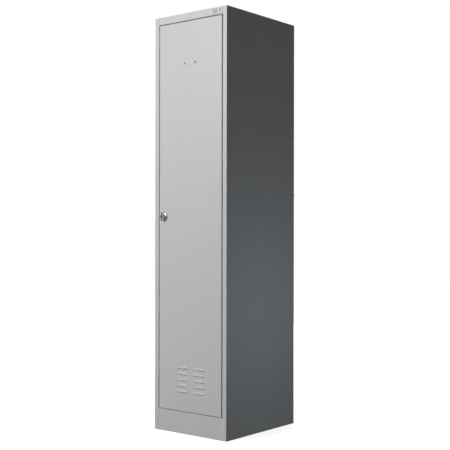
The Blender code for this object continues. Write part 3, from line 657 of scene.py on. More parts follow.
    def walls(self, drop: float, lip: float = 0.0) -> "Shape":
        """Folds walls down from the rim of a flat face, then lips inwards if asked."""
        rim = [edge for edge in self.bm.edges if edge.is_boundary]
        half_x = max(vert.co.x for vert in self.bm.verts)
        half_y = max(vert.co.y for vert in self.bm.verts)
        for down, inward in ((drop, 0.0), (0.0, lip)):
            if not down and not inward:
                continue
            drawn = bmesh.ops.extrude_edge_only(self.bm, edges=rim)["geom"]
            rim = [item for item in drawn if isinstance(item, bmesh.types.BMEdge)]
            for vert in (item for item in drawn if isinstance(item, bmesh.types.BMVert)):
                vert.co.z -= down
                if abs(vert.co.x) > half_x - CLOSE:
                    vert.co.x -= math.copysign(inward, vert.co.x)
                if abs(vert.co.y) > half_y - CLOSE:
                    vert.co.y -= math.copysign(inward, vert.co.y)
        bmesh.ops.recalc_face_normals(self.bm, faces=self.bm.faces[:])
        self.bm.normal_update()
        top = max(self.bm.faces, key=lambda face: face.calc_area())
        if top.normal.z < 0:
            bmesh.ops.reverse_faces(self.bm, faces=self.bm.faces[:])
        return self

    def soften(self, radius: float, angle: float = 40.0, segments: int = 4) -> "Shape":
        """Rounds every edge where two faces meet at more than an angle, in degrees."""
        self.bm.normal_update()
        folds = [
            edge
            for edge in self.bm.edges
            if len(edge.link_faces) == 2 and edge.calc_face_angle() > math.radians(angle)
        ]
        bmesh.ops.bevel(
            self.bm,
            geom=folds,
            offset=radius,
            offset_type="OFFSET",
            segments=segments,
            profile=0.5,
            affect="EDGES",
            material=-1,
            clamp_overlap=True,
        )
        return self

    def piece(self, name: str) -> bpy.types.Object:
        """Turns the shape into a linked object and frees it."""
        mesh = bpy.data.meshes.new(name)
        self.bm.to_mesh(mesh)
        self.bm.free()
        made = bpy.data.objects.new(name, mesh)
        bpy.context.scene.collection.objects.link(made)
        return made


class Bench:
    """Finishes pieces: walls, holes, soft edges, shading, finish and body."""

    def __init__(self, finishes: Finishes) -> None:
        """Keeps the finishes.

        Args:
            finishes: the materials to dress pieces in.
        """
        self.finishes = finishes
        self.count = 0

    @staticmethod
    def settle(made: bpy.types.Object) -> None:
        """Applies every modifier of a piece to its mesh."""
        graph = bpy.context.evaluated_depsgraph_get()
        mesh = bpy.data.meshes.new_from_object(made.evaluated_get(graph))
        old = made.data
        made.modifiers.clear()
        made.data = mesh
        bpy.data.meshes.remove(old)
        mesh.name = made.name

    def finish(
        self,
        name: str,
        shape: Shape,
        finish: str,
        body: Body,
        replaces: Sequence[str] = (),
        wall: float = 0.0,
        holes: Sequence[Shape] = (),
        soft: float = 0.0,
        crease: float = 38.0,
        weighted: bool = True,
    ) -> bpy.types.Object:
        """Makes a shape into a finished piece.

        Args:
            name: the piece's name.
            shape: its shape, in place.
            finish: the key of its finish.
            body: the body that it rides on.
            replaces: the nodes of the model that it stands for.
            wall: the thickness of an open surface, inwards.
            holes: shapes cut out of it.
            soft: the radius of its cut edges.
            crease: the angle, in degrees, from which an edge shades sharp.
            weighted: whether large flat faces keep flat shading next to curved ones.

        Returns:
            The piece.
        """
        made = shape.piece(name)
        made.data.materials.append(self.finishes.materials[finish])
        if wall:
            solid = made.modifiers.new("wall", "SOLIDIFY")
            solid.thickness = wall
            solid.offset = -1
            solid.use_even_offset = True
        cutters = [cutter.piece(name + "_cutter") for cutter in holes]
        for cutter in cutters:
            hole = made.modifiers.new("hole", "BOOLEAN")
            hole.operation = "DIFFERENCE"
            hole.object = cutter
        if soft:
            bevel = made.modifiers.new("soft", "BEVEL")
            bevel.width = soft
            bevel.segments = 2
            bevel.limit_method = "ANGLE"
            bevel.angle_limit = math.radians(50)
            bevel.harden_normals = False
        bpy.context.view_layer.update()
        self.settle(made)
        for cutter in cutters:
            bpy.data.meshes.remove(cutter.data)
        made.data.shade_smooth()
        made.data.set_sharp_from_angle(angle=math.radians(crease))
        if weighted:
            normals = made.modifiers.new("normals", "WEIGHTED_NORMAL")
            normals.keep_sharp = True
            bpy.context.view_layer.update()
            self.settle(made)
        if replaces:
            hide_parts(*replaces)
        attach(made, body.value)
        self.count += 1
        LOG.info("%s: %d faces, rides on %s", name, len(made.data.polygons), body.value)
        return made

    def dress(self, node: str, finish: str) -> None:
        """Gives a node of the model one of the finishes."""
        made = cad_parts[node]
        made.data.materials.clear()
        made.data.materials.append(self.finishes.materials[finish])
        LOG.info("%s: kept, dressed in %s", node, finish)


def middle_of(node: str) -> Vector:
    """Returns the middle of a node's box."""
    low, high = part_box(node)
    return (low + high) / 2


def bores_for(prefix: str, face_y: float, radius: float = 0.0023) -> list[Shape]:
    """Returns cutters, along Y, of the holes that screws or rivets pass through.

    Args:
        prefix: how the screws' or rivets' nodes are called.
        face_y: the face that the holes go through.
        radius: the holes' radius.

    Returns:
        One rod for each screw or rivet.
    """
    places = [middle_of(node) for node in sorted(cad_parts) if node.startswith(prefix)]
    return [
        Shape.rod(radius, 0.008).moved(facing(REAR, (place.x, face_y, place.z)))
        for place in places
    ]


# ------------------------------------------------------------------------------ carcass
@dataclass
class Carcass:
    """The folded body: two sides, header, plinth, roof, floor and back."""

    latch_post: float = 0.024
    hinge_post: float = 0.022
    rebate: float = 0.0225
    stop: float = 0.012
    rear_flange: float = 0.015
    foot: float = 0.018
    rail_return: float = 0.0201
    bead_spacing: float = 0.230
    bead_width: float = 0.024
    bead_depth: float = 0.004
    bead_from_ends: float = 0.130
    bead_steps: int = 8
    tray_flange: float = 0.012
    cut_edge: float = 0.00016
    bush_hole: float = 0.0050
    sides: dict[str, int] = field(
        default_factory=lambda: {"left_side_panel": 1, "right_side_panel": -1}
    )

    def build(self, bench: Bench) -> None:
        """Builds and dresses every panel of the carcass."""
        self.side_panels(bench)
        self.front_rails(bench)
        self.trays(bench)
        self.back_panel(bench)

    def panel(
        self,
        bench: Bench,
        node: str,
        name: str,
        shape: Shape,
        holes: Sequence[Shape] = (),
        finish: str = "carcass",
    ) -> None:
        """Finishes one panel of sheet with softened cut edges.

        Args:
            bench: where it is finished.
            node: the node that it stands for.
            name: its name.
            shape: its outer face.
            holes: shapes cut out of it.
            finish: the key of its finish.
        """
        bench.finish(
            name, shape, finish, Body.CARCASS, [node], wall=SHEET, holes=holes, soft=self.cut_edge
        )

    def side_panels(self, bench: Bench) -> None:
        """Folds each side round to its post and its stop."""
        for name, sign in self.sides.items():
            low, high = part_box(name)
            post = self.latch_post if sign > 0 else self.hinge_post
            outer = abs(low.x) if sign > 0 else high.x
            inner = post - outer
            depth = high.y - low.y
            path = [
                (inner + self.stop, self.rebate),
                (inner, self.rebate),
                (inner, 0),
                (-outer, 0),
                (-outer, depth),
                (self.rear_flange - outer, depth),
            ]
            if sign < 0:
                path = mirrored(path)
            shape = Shape.folded(path, high.z - low.z).moved(Matrix.Translation((0, low.y, low.z)))
            near, far = sign * (inner - SHEET - GAP), sign * (inner + self.stop + GAP)
            notch = Shape.box(
                (min(near, far), low.y + SHEET + GAP / 2, high.z - self.tray_flange - GAP),
                (max(near, far), low.y + self.rebate + SHEET + GAP, high.z + GAP),
            )
            holes = [notch, *bores_for("rear_screw", high.y)]
            self.panel(bench, name, name.replace("panel", "shell"), shape, holes)

    def front_rails(self, bench: Bench) -> None:
        """Folds the header and the plinth between the posts."""
        for name, foot in (("header_rail", 0.0), ("plinth_panel", self.foot)):
            low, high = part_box(name)
            back = self.rail_return
            if foot:
                fold = high.z - self.stop
                path = [(foot, low.z), (0, low.z), (0, fold), (back, fold), (back, high.z)]
            else:
                fold = low.z + self.stop
                path = [(back, low.z), (back, fold), (0, fold), (0, high.z)]
            place = Matrix.Translation((low.x, low.y, 0)) @ ALONG_X
            shape = Shape.folded(path, high.x - low.x).moved(place)
            pin = middle_of("pivot_pin_upper")
            bush = Shape.rod(self.bush_hole, 6 * SHEET)
            bush.moved(Matrix.Translation((pin.x, pin.y, fold)))
            self.panel(bench, name, name.split("_")[0] + "_shell", shape, [bush])

    def trays(self, bench: Bench) -> None:
        """Folds the roof and the floor."""
        for name, finish in (("roof_panel", "carcass"), ("floor_panel", "inside")):
            shape = Shape.tray(name, self.tray_flange)
            self.panel(bench, name, name.replace("panel", "tray"), shape, finish=finish)

    def bead(self, across: float, along: float, half_length: float) -> float:
        """Returns a bead's depth at a place given from its middle."""
        radius = self.bead_width / 2
        past_end = max(0.0, abs(along) - (half_length - radius))
        reach = min(1.0, math.hypot(across, past_end) / radius)
        return self.bead_depth * 0.5 * (1 + math.cos(math.pi * reach))

    def back_panel(self, bench: Bench) -> None:
        """Presses two beads into the back sheet and bores it for its screws and rivets."""
        low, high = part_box("back_panel")
        height = high.z - low.z
        half_length = height / 2 - self.bead_from_ends
        centres = (-self.bead_spacing / 2, self.bead_spacing / 2)
        radius, count = self.bead_width / 2, self.bead_steps
        steps = [radius * (2 * step / count - 1) for step in range(count + 1)]
        ends = [radius * step / count for step in range(count + 1)]
        shape = Shape.flat(high.x - low.x, height)
        shape.cut((1, 0, 0), sorted(x + step for x in centres for step in steps))
        shape.cut((0, 1, 0), [half_length - step for step in reversed(ends)])
        shape.cut((0, 1, 0), [step - half_length for step in ends])
        for vert in shape.bm.verts:
            if abs(vert.co.y) < half_length:
                vert.co.z -= sum(self.bead(vert.co.x - x, vert.co.y, half_length) for x in centres)
        turn = Matrix.Rotation(math.pi, 4, "Z") @ ALONG_Y
        shape.moved(Matrix.Translation((0, high.y, (low.z + high.z) / 2)) @ turn)
        bench.finish(
            "back_shell",
            shape,
            "carcass",
            Body.CARCASS,
            ["back_panel"],
            wall=SHEET,
            holes=bores_for("rear_screw", high.y) + bores_for("hook_rivet", high.y),
        )


# ------------------------------------------------------------------------------ door
@dataclass
class Door:
    """The louvred door pan."""

    depth: float = 0.016
    lip: float = 0.012
    louvre_length: float = 0.062
    louvre_height: float = 0.0112
    louvre_proud: float = 0.0047
    louvre_slot: float = 0.0020
    louvre_pitch: float = 0.026
    louvre_rows: int = 5
    louvre_column_gap: float = 0.034
    louvre_offset: float = 0.006
    louvre_bottom: float = 0.084
    columns_fine: int = 26
    rows_fine: int = 9
    cut_edge: float = 0.00014
    latch_hole: float = 0.0100
    rivet_hole: float = 0.0019
    pin_hole: float = 0.0033

    def louvre_places(self) -> list[tuple[float, float]]:
        """Returns X and Z of the middle of each louvre's slot."""
        low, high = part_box("door_panel")
        middle = (low.x + high.x) / 2 + self.louvre_offset
        spread = (self.louvre_length + self.louvre_column_gap) / 2
        return [
            (middle + side * spread, low.z + self.louvre_bottom + row * self.louvre_pitch)
            for side in (-1, 1)
            for row in range(self.louvre_rows)
        ]

    def hood(self, across: float, up: float) -> float:
        """Returns how far a louvre's hood stands out at a place above the middle of its slot."""
        ends = abs(across) / (self.louvre_length / 2)
        rise = up / self.louvre_height
        reach = ends**3.2 + rise * rise
        if reach >= 1:
            return 0.0
        return self.louvre_proud * (1 - reach) ** 0.85

    def build(self, bench: Bench) -> None:
        """Folds the pan, lances and presses the louvres, and bores it."""
        low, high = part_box("door_panel")
        face_y = low.y + self.proud_in_model()
        middle = Vector(((low.x + high.x) / 2, face_y, (low.z + high.z) / 2))
        shape = Shape.flat(high.x - low.x, high.z - low.z)
        places = [(x - middle.x, z - middle.z) for x, z in self.louvre_places()]
        half = self.louvre_length / 2
        steps_x = [half * (2 * i / self.columns_fine - 1) for i in range(self.columns_fine + 1)]
        steps_z = [self.louvre_height * i / self.rows_fine for i in range(self.rows_fine + 1)]
        steps_z.append(-self.louvre_slot)
        shape.cut((1, 0, 0), sorted({x + step for x, _ in places for step in steps_x}))
        shape.cut((0, 1, 0), sorted({z + step for _, z in places for step in steps_z}))
        shape.walls(self.depth, self.lip).soften(BEND, angle=60.0)
        self.press(shape, places)
        shape.moved(Matrix.Translation(middle) @ ALONG_Y)
        holes, soft = self.bores(face_y), self.cut_edge
        bench.finish(
            "door_shell", shape, "door", Body.DOOR, ["door_panel"], wall=SHEET, holes=holes, soft=soft
        )
        bench.dress("door_stiffener", "inside")

    def proud_in_model(self) -> float:
        """Returns how far the model's louvres stand out from the door's face."""
        low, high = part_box("door_panel")
        return high.y - self.depth - low.y

    def press(self, shape: Shape, places: Sequence[tuple[float, float]]) -> None:
        """Lances each slot and presses the sheet above it out into a hood."""
        half, tiny = self.louvre_length / 2, 1e-5
        open_half = half * (1 - 2 / self.columns_fine)
        spots = [(face, face.calc_center_median()) for face in shape.bm.faces]
        front = [(face, spot.x, spot.y) for face, spot in spots if abs(spot.z) < tiny]
        hoods, strips, slots = [], [], []
        for x, z in places:
            near = [(face, abs(across - x), up - z) for face, across, up in front]
            hoods.append([face for face, off, up in near if off < half and 0 < up < self.louvre_height])
            strips += [face for face, off, up in near if off < open_half and -self.louvre_slot < up < 0]
        for edge in shape.bm.edges:
            ends = [vert.co for vert in edge.verts if abs(vert.co.z) < tiny]
            for x, z in places:
                if sum(abs(end.y - z) < tiny and abs(end.x - x) < half + tiny for end in ends) == 2:
                    slots.append(edge)
        bmesh.ops.split_edges(shape.bm, edges=slots)
        for (x, z), faces in zip(places, hoods):
            for vert in {vert for face in faces for vert in face.verts}:
                vert.co.z = self.hood(vert.co.x - x, vert.co.y - z)
        bmesh.ops.delete(shape.bm, geom=strips, context="FACES")

    def bores(self, face_y: float) -> list[Shape]:
        """Returns the cutters of the holes for the latch, the rivets and the pivots."""
        made = []
        for node, radius in (
            ("latch_housing", self.latch_hole),
            ("number_rivet_left", self.rivet_hole),
            ("number_rivet_right", self.rivet_hole),
        ):
            place = middle_of(node)
            matrix = Matrix.Translation((place.x, face_y, place.z)) @ ALONG_Y
            made.append(Shape.rod(radius, 6 * SHEET).moved(matrix))
        low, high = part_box("door_panel")
        pin = middle_of("pivot_pin_upper")
        for edge in (low.z, high.z):
            hole = Shape.rod(self.pin_hole, 6 * SHEET)
            made.append(hole.moved(Matrix.Translation((pin.x, pin.y, edge))))
        return made


@dataclass
class NumberPlate:
    """The blank oval number plate and its two push rivets."""

    edge: float = 0.0004
    rivet_radius: float = 0.0036
    rivet_shank: float = 0.0016
    recess: float = 0.0011

    def build(self, bench: Bench) -> None:
        """Builds the plate and the rivets."""
        low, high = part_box("number_plate")
        half = (high - low) / 2
        places = [middle_of(node) for node in ("number_rivet_left", "number_rivet_right")]
        thick = high.y - low.y
        levels = [(0.0, 0.0), (0.0, thick - self.edge), (self.edge * 0.3, thick - self.edge * 0.3)]
        levels += [(self.edge, thick), (0.0024, thick), (0.0027, thick - 0.00018)]
        shape = Shape.stacked(ellipse(half.x, half.z, 2 * FINE), (half.x, half.z), levels)
        shape.moved(Matrix.Translation((low.x + half.x, high.y, low.z + half.z)) @ ALONG_Y)
        shank = self.rivet_shank + GAP
        holes = [Shape.rod(shank, 6 * thick).moved(facing(REAR, place)) for place in places]
        bench.finish(
            "oval_number_plate", shape, "plate", Body.DOOR, ["number_plate"], holes=holes, crease=CRISP
        )
        for side in ("left", "right"):
            self.rivet(bench, "number_rivet_" + side, "push_rivet_" + side)

    def rivet(self, bench: Bench, node: str, name: str) -> None:
        """Builds one push rivet, with the dimple of its pin in the head."""
        low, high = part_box(node)
        head = 0.0010
        face = low.y + head
        shank = high.y - face
        profile = [
            (0, head - 0.0006),
            (self.recess * 0.7, head - 0.0006),
            (self.recess, head - 0.0001),
            (self.recess * 1.25, head),
            (self.rivet_radius * 0.72, head * 0.86),
            (self.rivet_radius * 0.93, head * 0.45),
            (self.rivet_radius, 0.0002),
            (self.rivet_radius, 0),
            (self.rivet_shank, 0),
            (self.rivet_shank, -shank),
            (0, -shank),
        ]
        place = middle_of(node)
        shape = Shape.turned(profile).moved(facing(AHEAD, (place.x, face, place.z)))
        bench.finish(name, shape, "black_nylon", Body.DOOR, [node])


# ------------------------------------------------------------------------------ latch
@dataclass
class Latch:
    """The rosette, the wing knob and what they turn behind the door."""

    rosette_radius: float = 0.0215
    rosette: float = 0.0045
    barrel: float = 0.0097
    bore: float = 0.0053
    hub: float = 0.0090
    hub_flare: float = 0.0036
    wing_half: float = 0.0210
    wing_thin: float = 0.00425
    knob_height: float = 0.0115
    spindle: float = 0.0050
    plug: float = 0.0055
    plug_depth: float = 0.0078
    rim: float = 0.0008
    face: float = 0.0
    axis: Vector = field(default_factory=Vector)

    def build(self, bench: Bench) -> None:
        """Builds and dresses every piece of the latch."""
        low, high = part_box("latch_housing")
        self.axis = Vector(((low.x + high.x) / 2, 0, (low.z + high.z) / 2))
        self.face = low.y + self.rosette + GAP
        self.housing(bench)
        self.knob(bench)
        self.key_plug(bench)
        self.behind(bench)

    def at(self, depth: float) -> Matrix:
        """Returns the matrix of a turned piece whose +Z points out of the door at this depth."""
        return facing(AHEAD, (self.axis.x, self.face + depth, self.axis.z))

    def housing(self, bench: Bench) -> None:
        """Turns the domed rosette with its threaded barrel."""
        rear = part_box("latch_housing")[1].y - self.face
        radius = self.rosette_radius
        top = self.rosette + GAP
        inner = self.hub + 0.0012
        shares = [step / 14 for step in range(1, 15)]
        dome = [
            (inner + (radius - inner) * share, top - (top - GAP - self.rim) * share**2.2)
            for share in shares
        ]
        thread = []
        pitch = 0.0010
        turns = int((rear - 0.0012) / pitch)
        for turn in range(turns):
            depth = -0.0010 - turn * pitch
            thread += [(self.barrel, depth), (self.barrel - 0.0005, depth - pitch / 2)]
        profile = [(inner, top), *dome, (radius, GAP), (self.barrel, GAP), *thread]
        profile += [(self.barrel - 0.0004, -rear), (self.bore, -rear), (self.bore, top - 0.0008)]
        profile += [(self.hub + 0.0006, top - 0.0008)]
        shape = Shape.turned(profile, 64, closed=True).moved(self.at(0))
        bench.finish("latch_rosette", shape, "chrome", Body.DOOR, ["latch_housing"], crease=CRISP)

    def outline(self, inset: float, hub: float) -> list[tuple[float, float]]:
        """Returns the wing knob's outline, drawn in by an inset."""
        half_x, half_z = self.wing_thin - inset, self.wing_half - inset
        made = []
        for x, z in self.circle(1.0):
            wing = ((x / half_x) ** 4 + (z / half_z) ** 4) ** -0.25
            blend = (wing**7 + (hub - inset) ** 7) ** (1 / 7)
            made.append((blend * x, blend * z))
        return made

    @staticmethod
    def circle(radius: float) -> list[tuple[float, float]]:
        """Returns a circle with as many points as the knob's outline."""
        return ellipse(radius, radius, 4 * ROUND)

    def knob(self, bench: Bench) -> None:
        """Lofts the wing knob and its spindle in one piece, with the bore of the key plug."""
        base = self.rosette + 2 * GAP
        top = base + self.knob_height
        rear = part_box("latch_knob")[1].y - self.face
        edge = 0.0016
        foot = self.hub + self.hub_flare
        levels = [
            (self.circle(self.spindle), -rear),
            (self.circle(self.spindle), base),
            (self.outline(0.0006, foot), base),
            (self.outline(0.0, foot), base + 0.0006),
        ]
        for step in range(1, 9):
            share = step / 8
            height = base + 0.0006 + (self.knob_height - 0.0006 - edge) * share
            flare = self.hub_flare * (1 - share) ** 2.4
            levels.append((self.outline(0.0004 * share, self.hub + flare), height))
        for step in range(1, 6):
            turn = math.pi / 2 * step / 5
            inset = 0.0004 + edge * (1 - math.cos(turn))
            levels.append((self.outline(inset, self.hub), top - edge * (1 - math.sin(turn))))
        bore = self.plug + GAP
        levels += [
            (self.circle(bore + 0.0007), top),
            (self.circle(bore), top - 0.0006),
            (self.circle(bore), top - self.plug_depth - 0.0010),
        ]
        rings = [[(x, z, height) for x, z in ring] for ring, height in levels]
        shape = Shape.lofted(rings).moved(self.at(0))
        bench.finish("wing_knob", shape, "chrome", Body.LATCH, ["latch_knob"], crease=CRISP)

    def key_plug(self, bench: Bench) -> None:
        """Turns the key plug and cuts its keyway."""
        low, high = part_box("key_plug")
        length = high.y - low.y
        profile = [
            (0, 0),
            (self.plug * 0.55, 0),
            (self.plug * 0.62, -0.0003),
            (self.plug - 0.0005, -0.0003),
            (self.plug, -0.0008),
            (self.plug, -length),
            (0, -length),
        ]
        front = facing(AHEAD, (self.axis.x, low.y, self.axis.z))
        shape = Shape.turned(profile).moved(front)
        slot = Shape.box((-0.0007, -0.0034, -0.0060), (0.0007, 0.0034, 0.0010)).moved(front)
        ward = Shape.box((-0.0014, -0.0008, -0.0060), (0.0014, 0.0004, 0.0010)).moved(front)
        bench.finish(
            "lock_plug", shape, "chrome", Body.KEY, ["key_plug"], holes=[slot, ward], crease=CRISP
        )

    def behind(self, bench: Bench) -> None:
        """Builds the nut, the cam, its washer and its screw."""
        low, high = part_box("latch_nut")
        nut = Shape()
        across = (high.x - low.x) / 2
        bmesh.ops.create_cone(
            nut.bm,
            cap_ends=True,
            segments=6,
            radius1=across * 2 / math.sqrt(3),
            radius2=across * 2 / math.sqrt(3),
            depth=high.y - low.y,
        )
        nut.soften(0.0004, segments=2).moved(facing(AHEAD, middle_of("latch_nut")))
        hole = Shape.rod(self.barrel + GAP, 0.02, FINE).moved(self.at(0.004))
        bench.finish("hex_nut", nut, "zinc", Body.DOOR, ["latch_nut"], holes=[hole], crease=CRISP)
        self.cam(bench)
        low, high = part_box("cam_washer")
        washer = rounded(
            [(0.0056, 0.0), (0.0056, 0.001), (0.0028, 0.001), (0.0028, 0.0)], 0.0002, 3, closed=True
        )
        shape = Shape.turned(washer, closed=True)
        shape.moved(facing(REAR, (self.axis.x, low.y, self.axis.z)))
        bench.finish("latch_washer", shape, "zinc", Body.LATCH, ["cam_washer"])
        low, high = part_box("cam_screw")
        head, radius = 0.003, 0.0045
        length = high.y - low.y - head
        profile = [(radius * x, head * (0.45 + 0.55 * z)) for x, z in arc(90.0, 0.0, 8)]
        profile += [(radius, 0), (0.0025, 0), (0.0025, -length), (0, -length)]
        place = facing(REAR, (self.axis.x, high.y - head, self.axis.z))
        arms = Shape.recess(0.0024, 0.0004, head, 0.0016, place)
        shape = Shape.turned(profile).moved(place)
        bench.finish("cross_screw", shape, "zinc", Body.LATCH, ["cam_screw"], holes=arms, crease=CRISP)

    def cam(self, bench: Bench) -> None:
        """Builds the tongue, round at the spindle and rounded at its tip."""
        low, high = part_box("latch_cam")
        radius = (high.x - low.x) / 2
        reach = self.axis.z - low.z
        tip = radius * 0.8
        top = [(radius * x, radius * z) for x, z in arc(0.0, 180.0, 24)]
        lower = rounded([(-radius, 0), (-tip, -reach), (tip, -reach), (radius, 0)], 0.004, 6)
        outline = top + [(point.x, point.y) for point in lower[1:-1]]
        thick = high.y - low.y
        edge = 0.0003
        levels = ((edge, 0.0), (0.0, edge), (0.0, thick - edge), (edge, thick))
        place = facing(AHEAD, (self.axis.x, high.y, self.axis.z))
        hole = Shape.rod(0.0028, 0.02).moved(place)
        shape = Shape.stacked(outline, (radius, reach), levels).moved(place)
        bench.finish("latch_tongue", shape, "zinc", Body.LATCH, ["latch_cam"], holes=[hole], crease=CRISP)


# ------------------------------------------------------------------------------ inside
@dataclass
class Interior:
    """The hat shelf, the hanging rail and the coat hooks."""

    shelf_flange: float = 0.020
    tube: float = 0.011
    tube_wall: float = 0.0012
    hook_reach: float = 0.030
    hook_tip: float = 0.022
    hook_plate: float = 0.046
    hook_strip: float = 0.002
    bracket_foot: float = 0.022
    bracket_wall: float = 0.0016
    cut_edge: float = 0.00016

    def build(self, bench: Bench) -> None:
        """Builds and dresses what is inside the cabinet."""
        shelf = Shape.tray("hat_shelf", self.shelf_flange)
        bench.finish(
            "shelf_tray", shelf, "inside", Body.CARCASS, ["hat_shelf"], wall=SHEET, soft=self.cut_edge
        )
        for node in ("shelf_angle_left", "shelf_angle_right"):
            bench.dress(node, "inside")
        self.rail(bench)
        self.brackets(bench)
        self.hooks(bench)
        self.hook_rivets(bench)

    def rail(self, bench: Bench) -> None:
        """Turns the tube and its end caps."""
        low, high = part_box("hanging_rail")
        length, inner = high.x - low.x, self.tube - self.tube_wall
        ring = [(self.tube, 0), (self.tube, length), (inner, length), (inner, 0)]
        section = rounded(ring, 0.0004, 3, closed=True)
        middle = middle_of("hanging_rail")
        place = facing((1, 0, 0), (low.x, middle.y, middle.z))
        shape = Shape.turned(section, closed=True).moved(place)
        bench.finish("rail_tube", shape, "rail", Body.CARCASS, ["hanging_rail"])
        for node, name, side in (
            ("rail_cap_left", "end_cap_left", -1),
            ("rail_cap_right", "end_cap_right", 1),
        ):
            low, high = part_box(node)
            cap, plug = 0.003, 0.009
            outline = [(0, cap), (self.tube, cap), (self.tube, GAP), (inner - GAP, GAP)]
            outline += [(inner - GAP, -plug), (0, -plug)]
            profile = rounded(outline, 0.0009, 4)
            end = (high.x if side > 0 else low.x) - side * cap
            middle = middle_of(node)
            shape = Shape.turned(profile).moved(facing((side, 0, 0), (end, middle.y, middle.z)))
            bench.finish(name, shape, "white_nylon", Body.CARCASS, [node])

    def brackets(self, bench: Bench) -> None:
        """Bends the two rail brackets and bores them for the tube."""
        rail = middle_of("hanging_rail")
        for node, name, sign in (
            ("rail_bracket_left", "rail_hanger_left", 1),
            ("rail_bracket_right", "rail_hanger_right", -1),
        ):
            low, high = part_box(node)
            wall = max(abs(low.x), abs(high.x))
            path = [(-wall, low.z), (-wall, high.z), (self.bracket_foot - wall, high.z)]
            if sign < 0:
                path = mirrored(path)
            shape = Shape.folded(path, high.y - low.y, 0.0024)
            shape.moved(Matrix.Translation((0, high.y, 0)) @ ALONG_Y)
            hole = Shape.rod(self.tube + GAP, 0.02, FINE)
            hole.moved(facing((1, 0, 0), (-sign * (wall - SHEET), rail.y, rail.z)))
            thick = self.bracket_wall
            bench.finish(
                name, shape, "zinc", Body.CARCASS, [node], wall=thick, holes=[hole], soft=0.0002
            )

    def hooks(self, bench: Bench) -> None:
        """Bends the coat hooks, rounds their ends and bores them for their rivets."""
        for node, name in (("coat_hook_left", "hook_left"), ("coat_hook_right", "hook_right")):
            low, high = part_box(node)
            plate_front = high.y - self.hook_strip
            radius = self.hook_reach / 2
            top = high.z
            bottom = top - self.hook_plate
            curl = [(-radius * (1 + x), bottom - radius * z) for x, z in arc(0.0, 180.0, 20)]
            path = [(-self.hook_reach, bottom + self.hook_tip), *curl, (0, top)]
            shape = Shape.folded(path, high.x - low.x, 0.0)
            shape.moved(Matrix.Translation((low.x, plate_front, 0)) @ ALONG_X)
            self.round_ends(shape)
            holes = [
                Shape.rod(0.0023, 0.02).moved(facing(REAR, middle_of(rivet)))
                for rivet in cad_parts
                if rivet.startswith("hook_rivet") and abs(middle_of(rivet).x - middle_of(node).x) < 0.01
            ]
            thick = self.hook_strip
            bench.finish(name, shape, "zinc", Body.CARCASS, [node], wall=thick, holes=holes, soft=0.0003)

    def hook_rivets(self, bench: Bench) -> None:
        """Turns the domed rivets that hold the hooks."""
        for node in sorted(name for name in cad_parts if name.startswith("hook_rivet")):
            low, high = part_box(node)
            head, radius = 0.0016, 0.0042
            length = high.y - low.y - head
            profile = [(radius * x, head * z) for x, z in arc(90.0, 0.0, 8)]
            profile += [(0.002, 0), (0.002, -length), (0, -length)]
            place = middle_of(node)
            shape = Shape.turned(profile, ROUND)
            shape.moved(facing(AHEAD, (place.x, low.y + head, place.z)))
            bench.finish(node.replace("hook_rivet", "dome_rivet"), shape, "zinc", Body.CARCASS, [node])

    @staticmethod
    def round_ends(shape: Shape) -> None:
        """Rounds the four corners of a strip's open surface."""
        corners = [vert for vert in shape.bm.verts if len(vert.link_edges) == 2]
        bmesh.ops.bevel(
            shape.bm, geom=corners, offset=0.006, segments=6, profile=0.5, affect="VERTICES", material=-1
        )


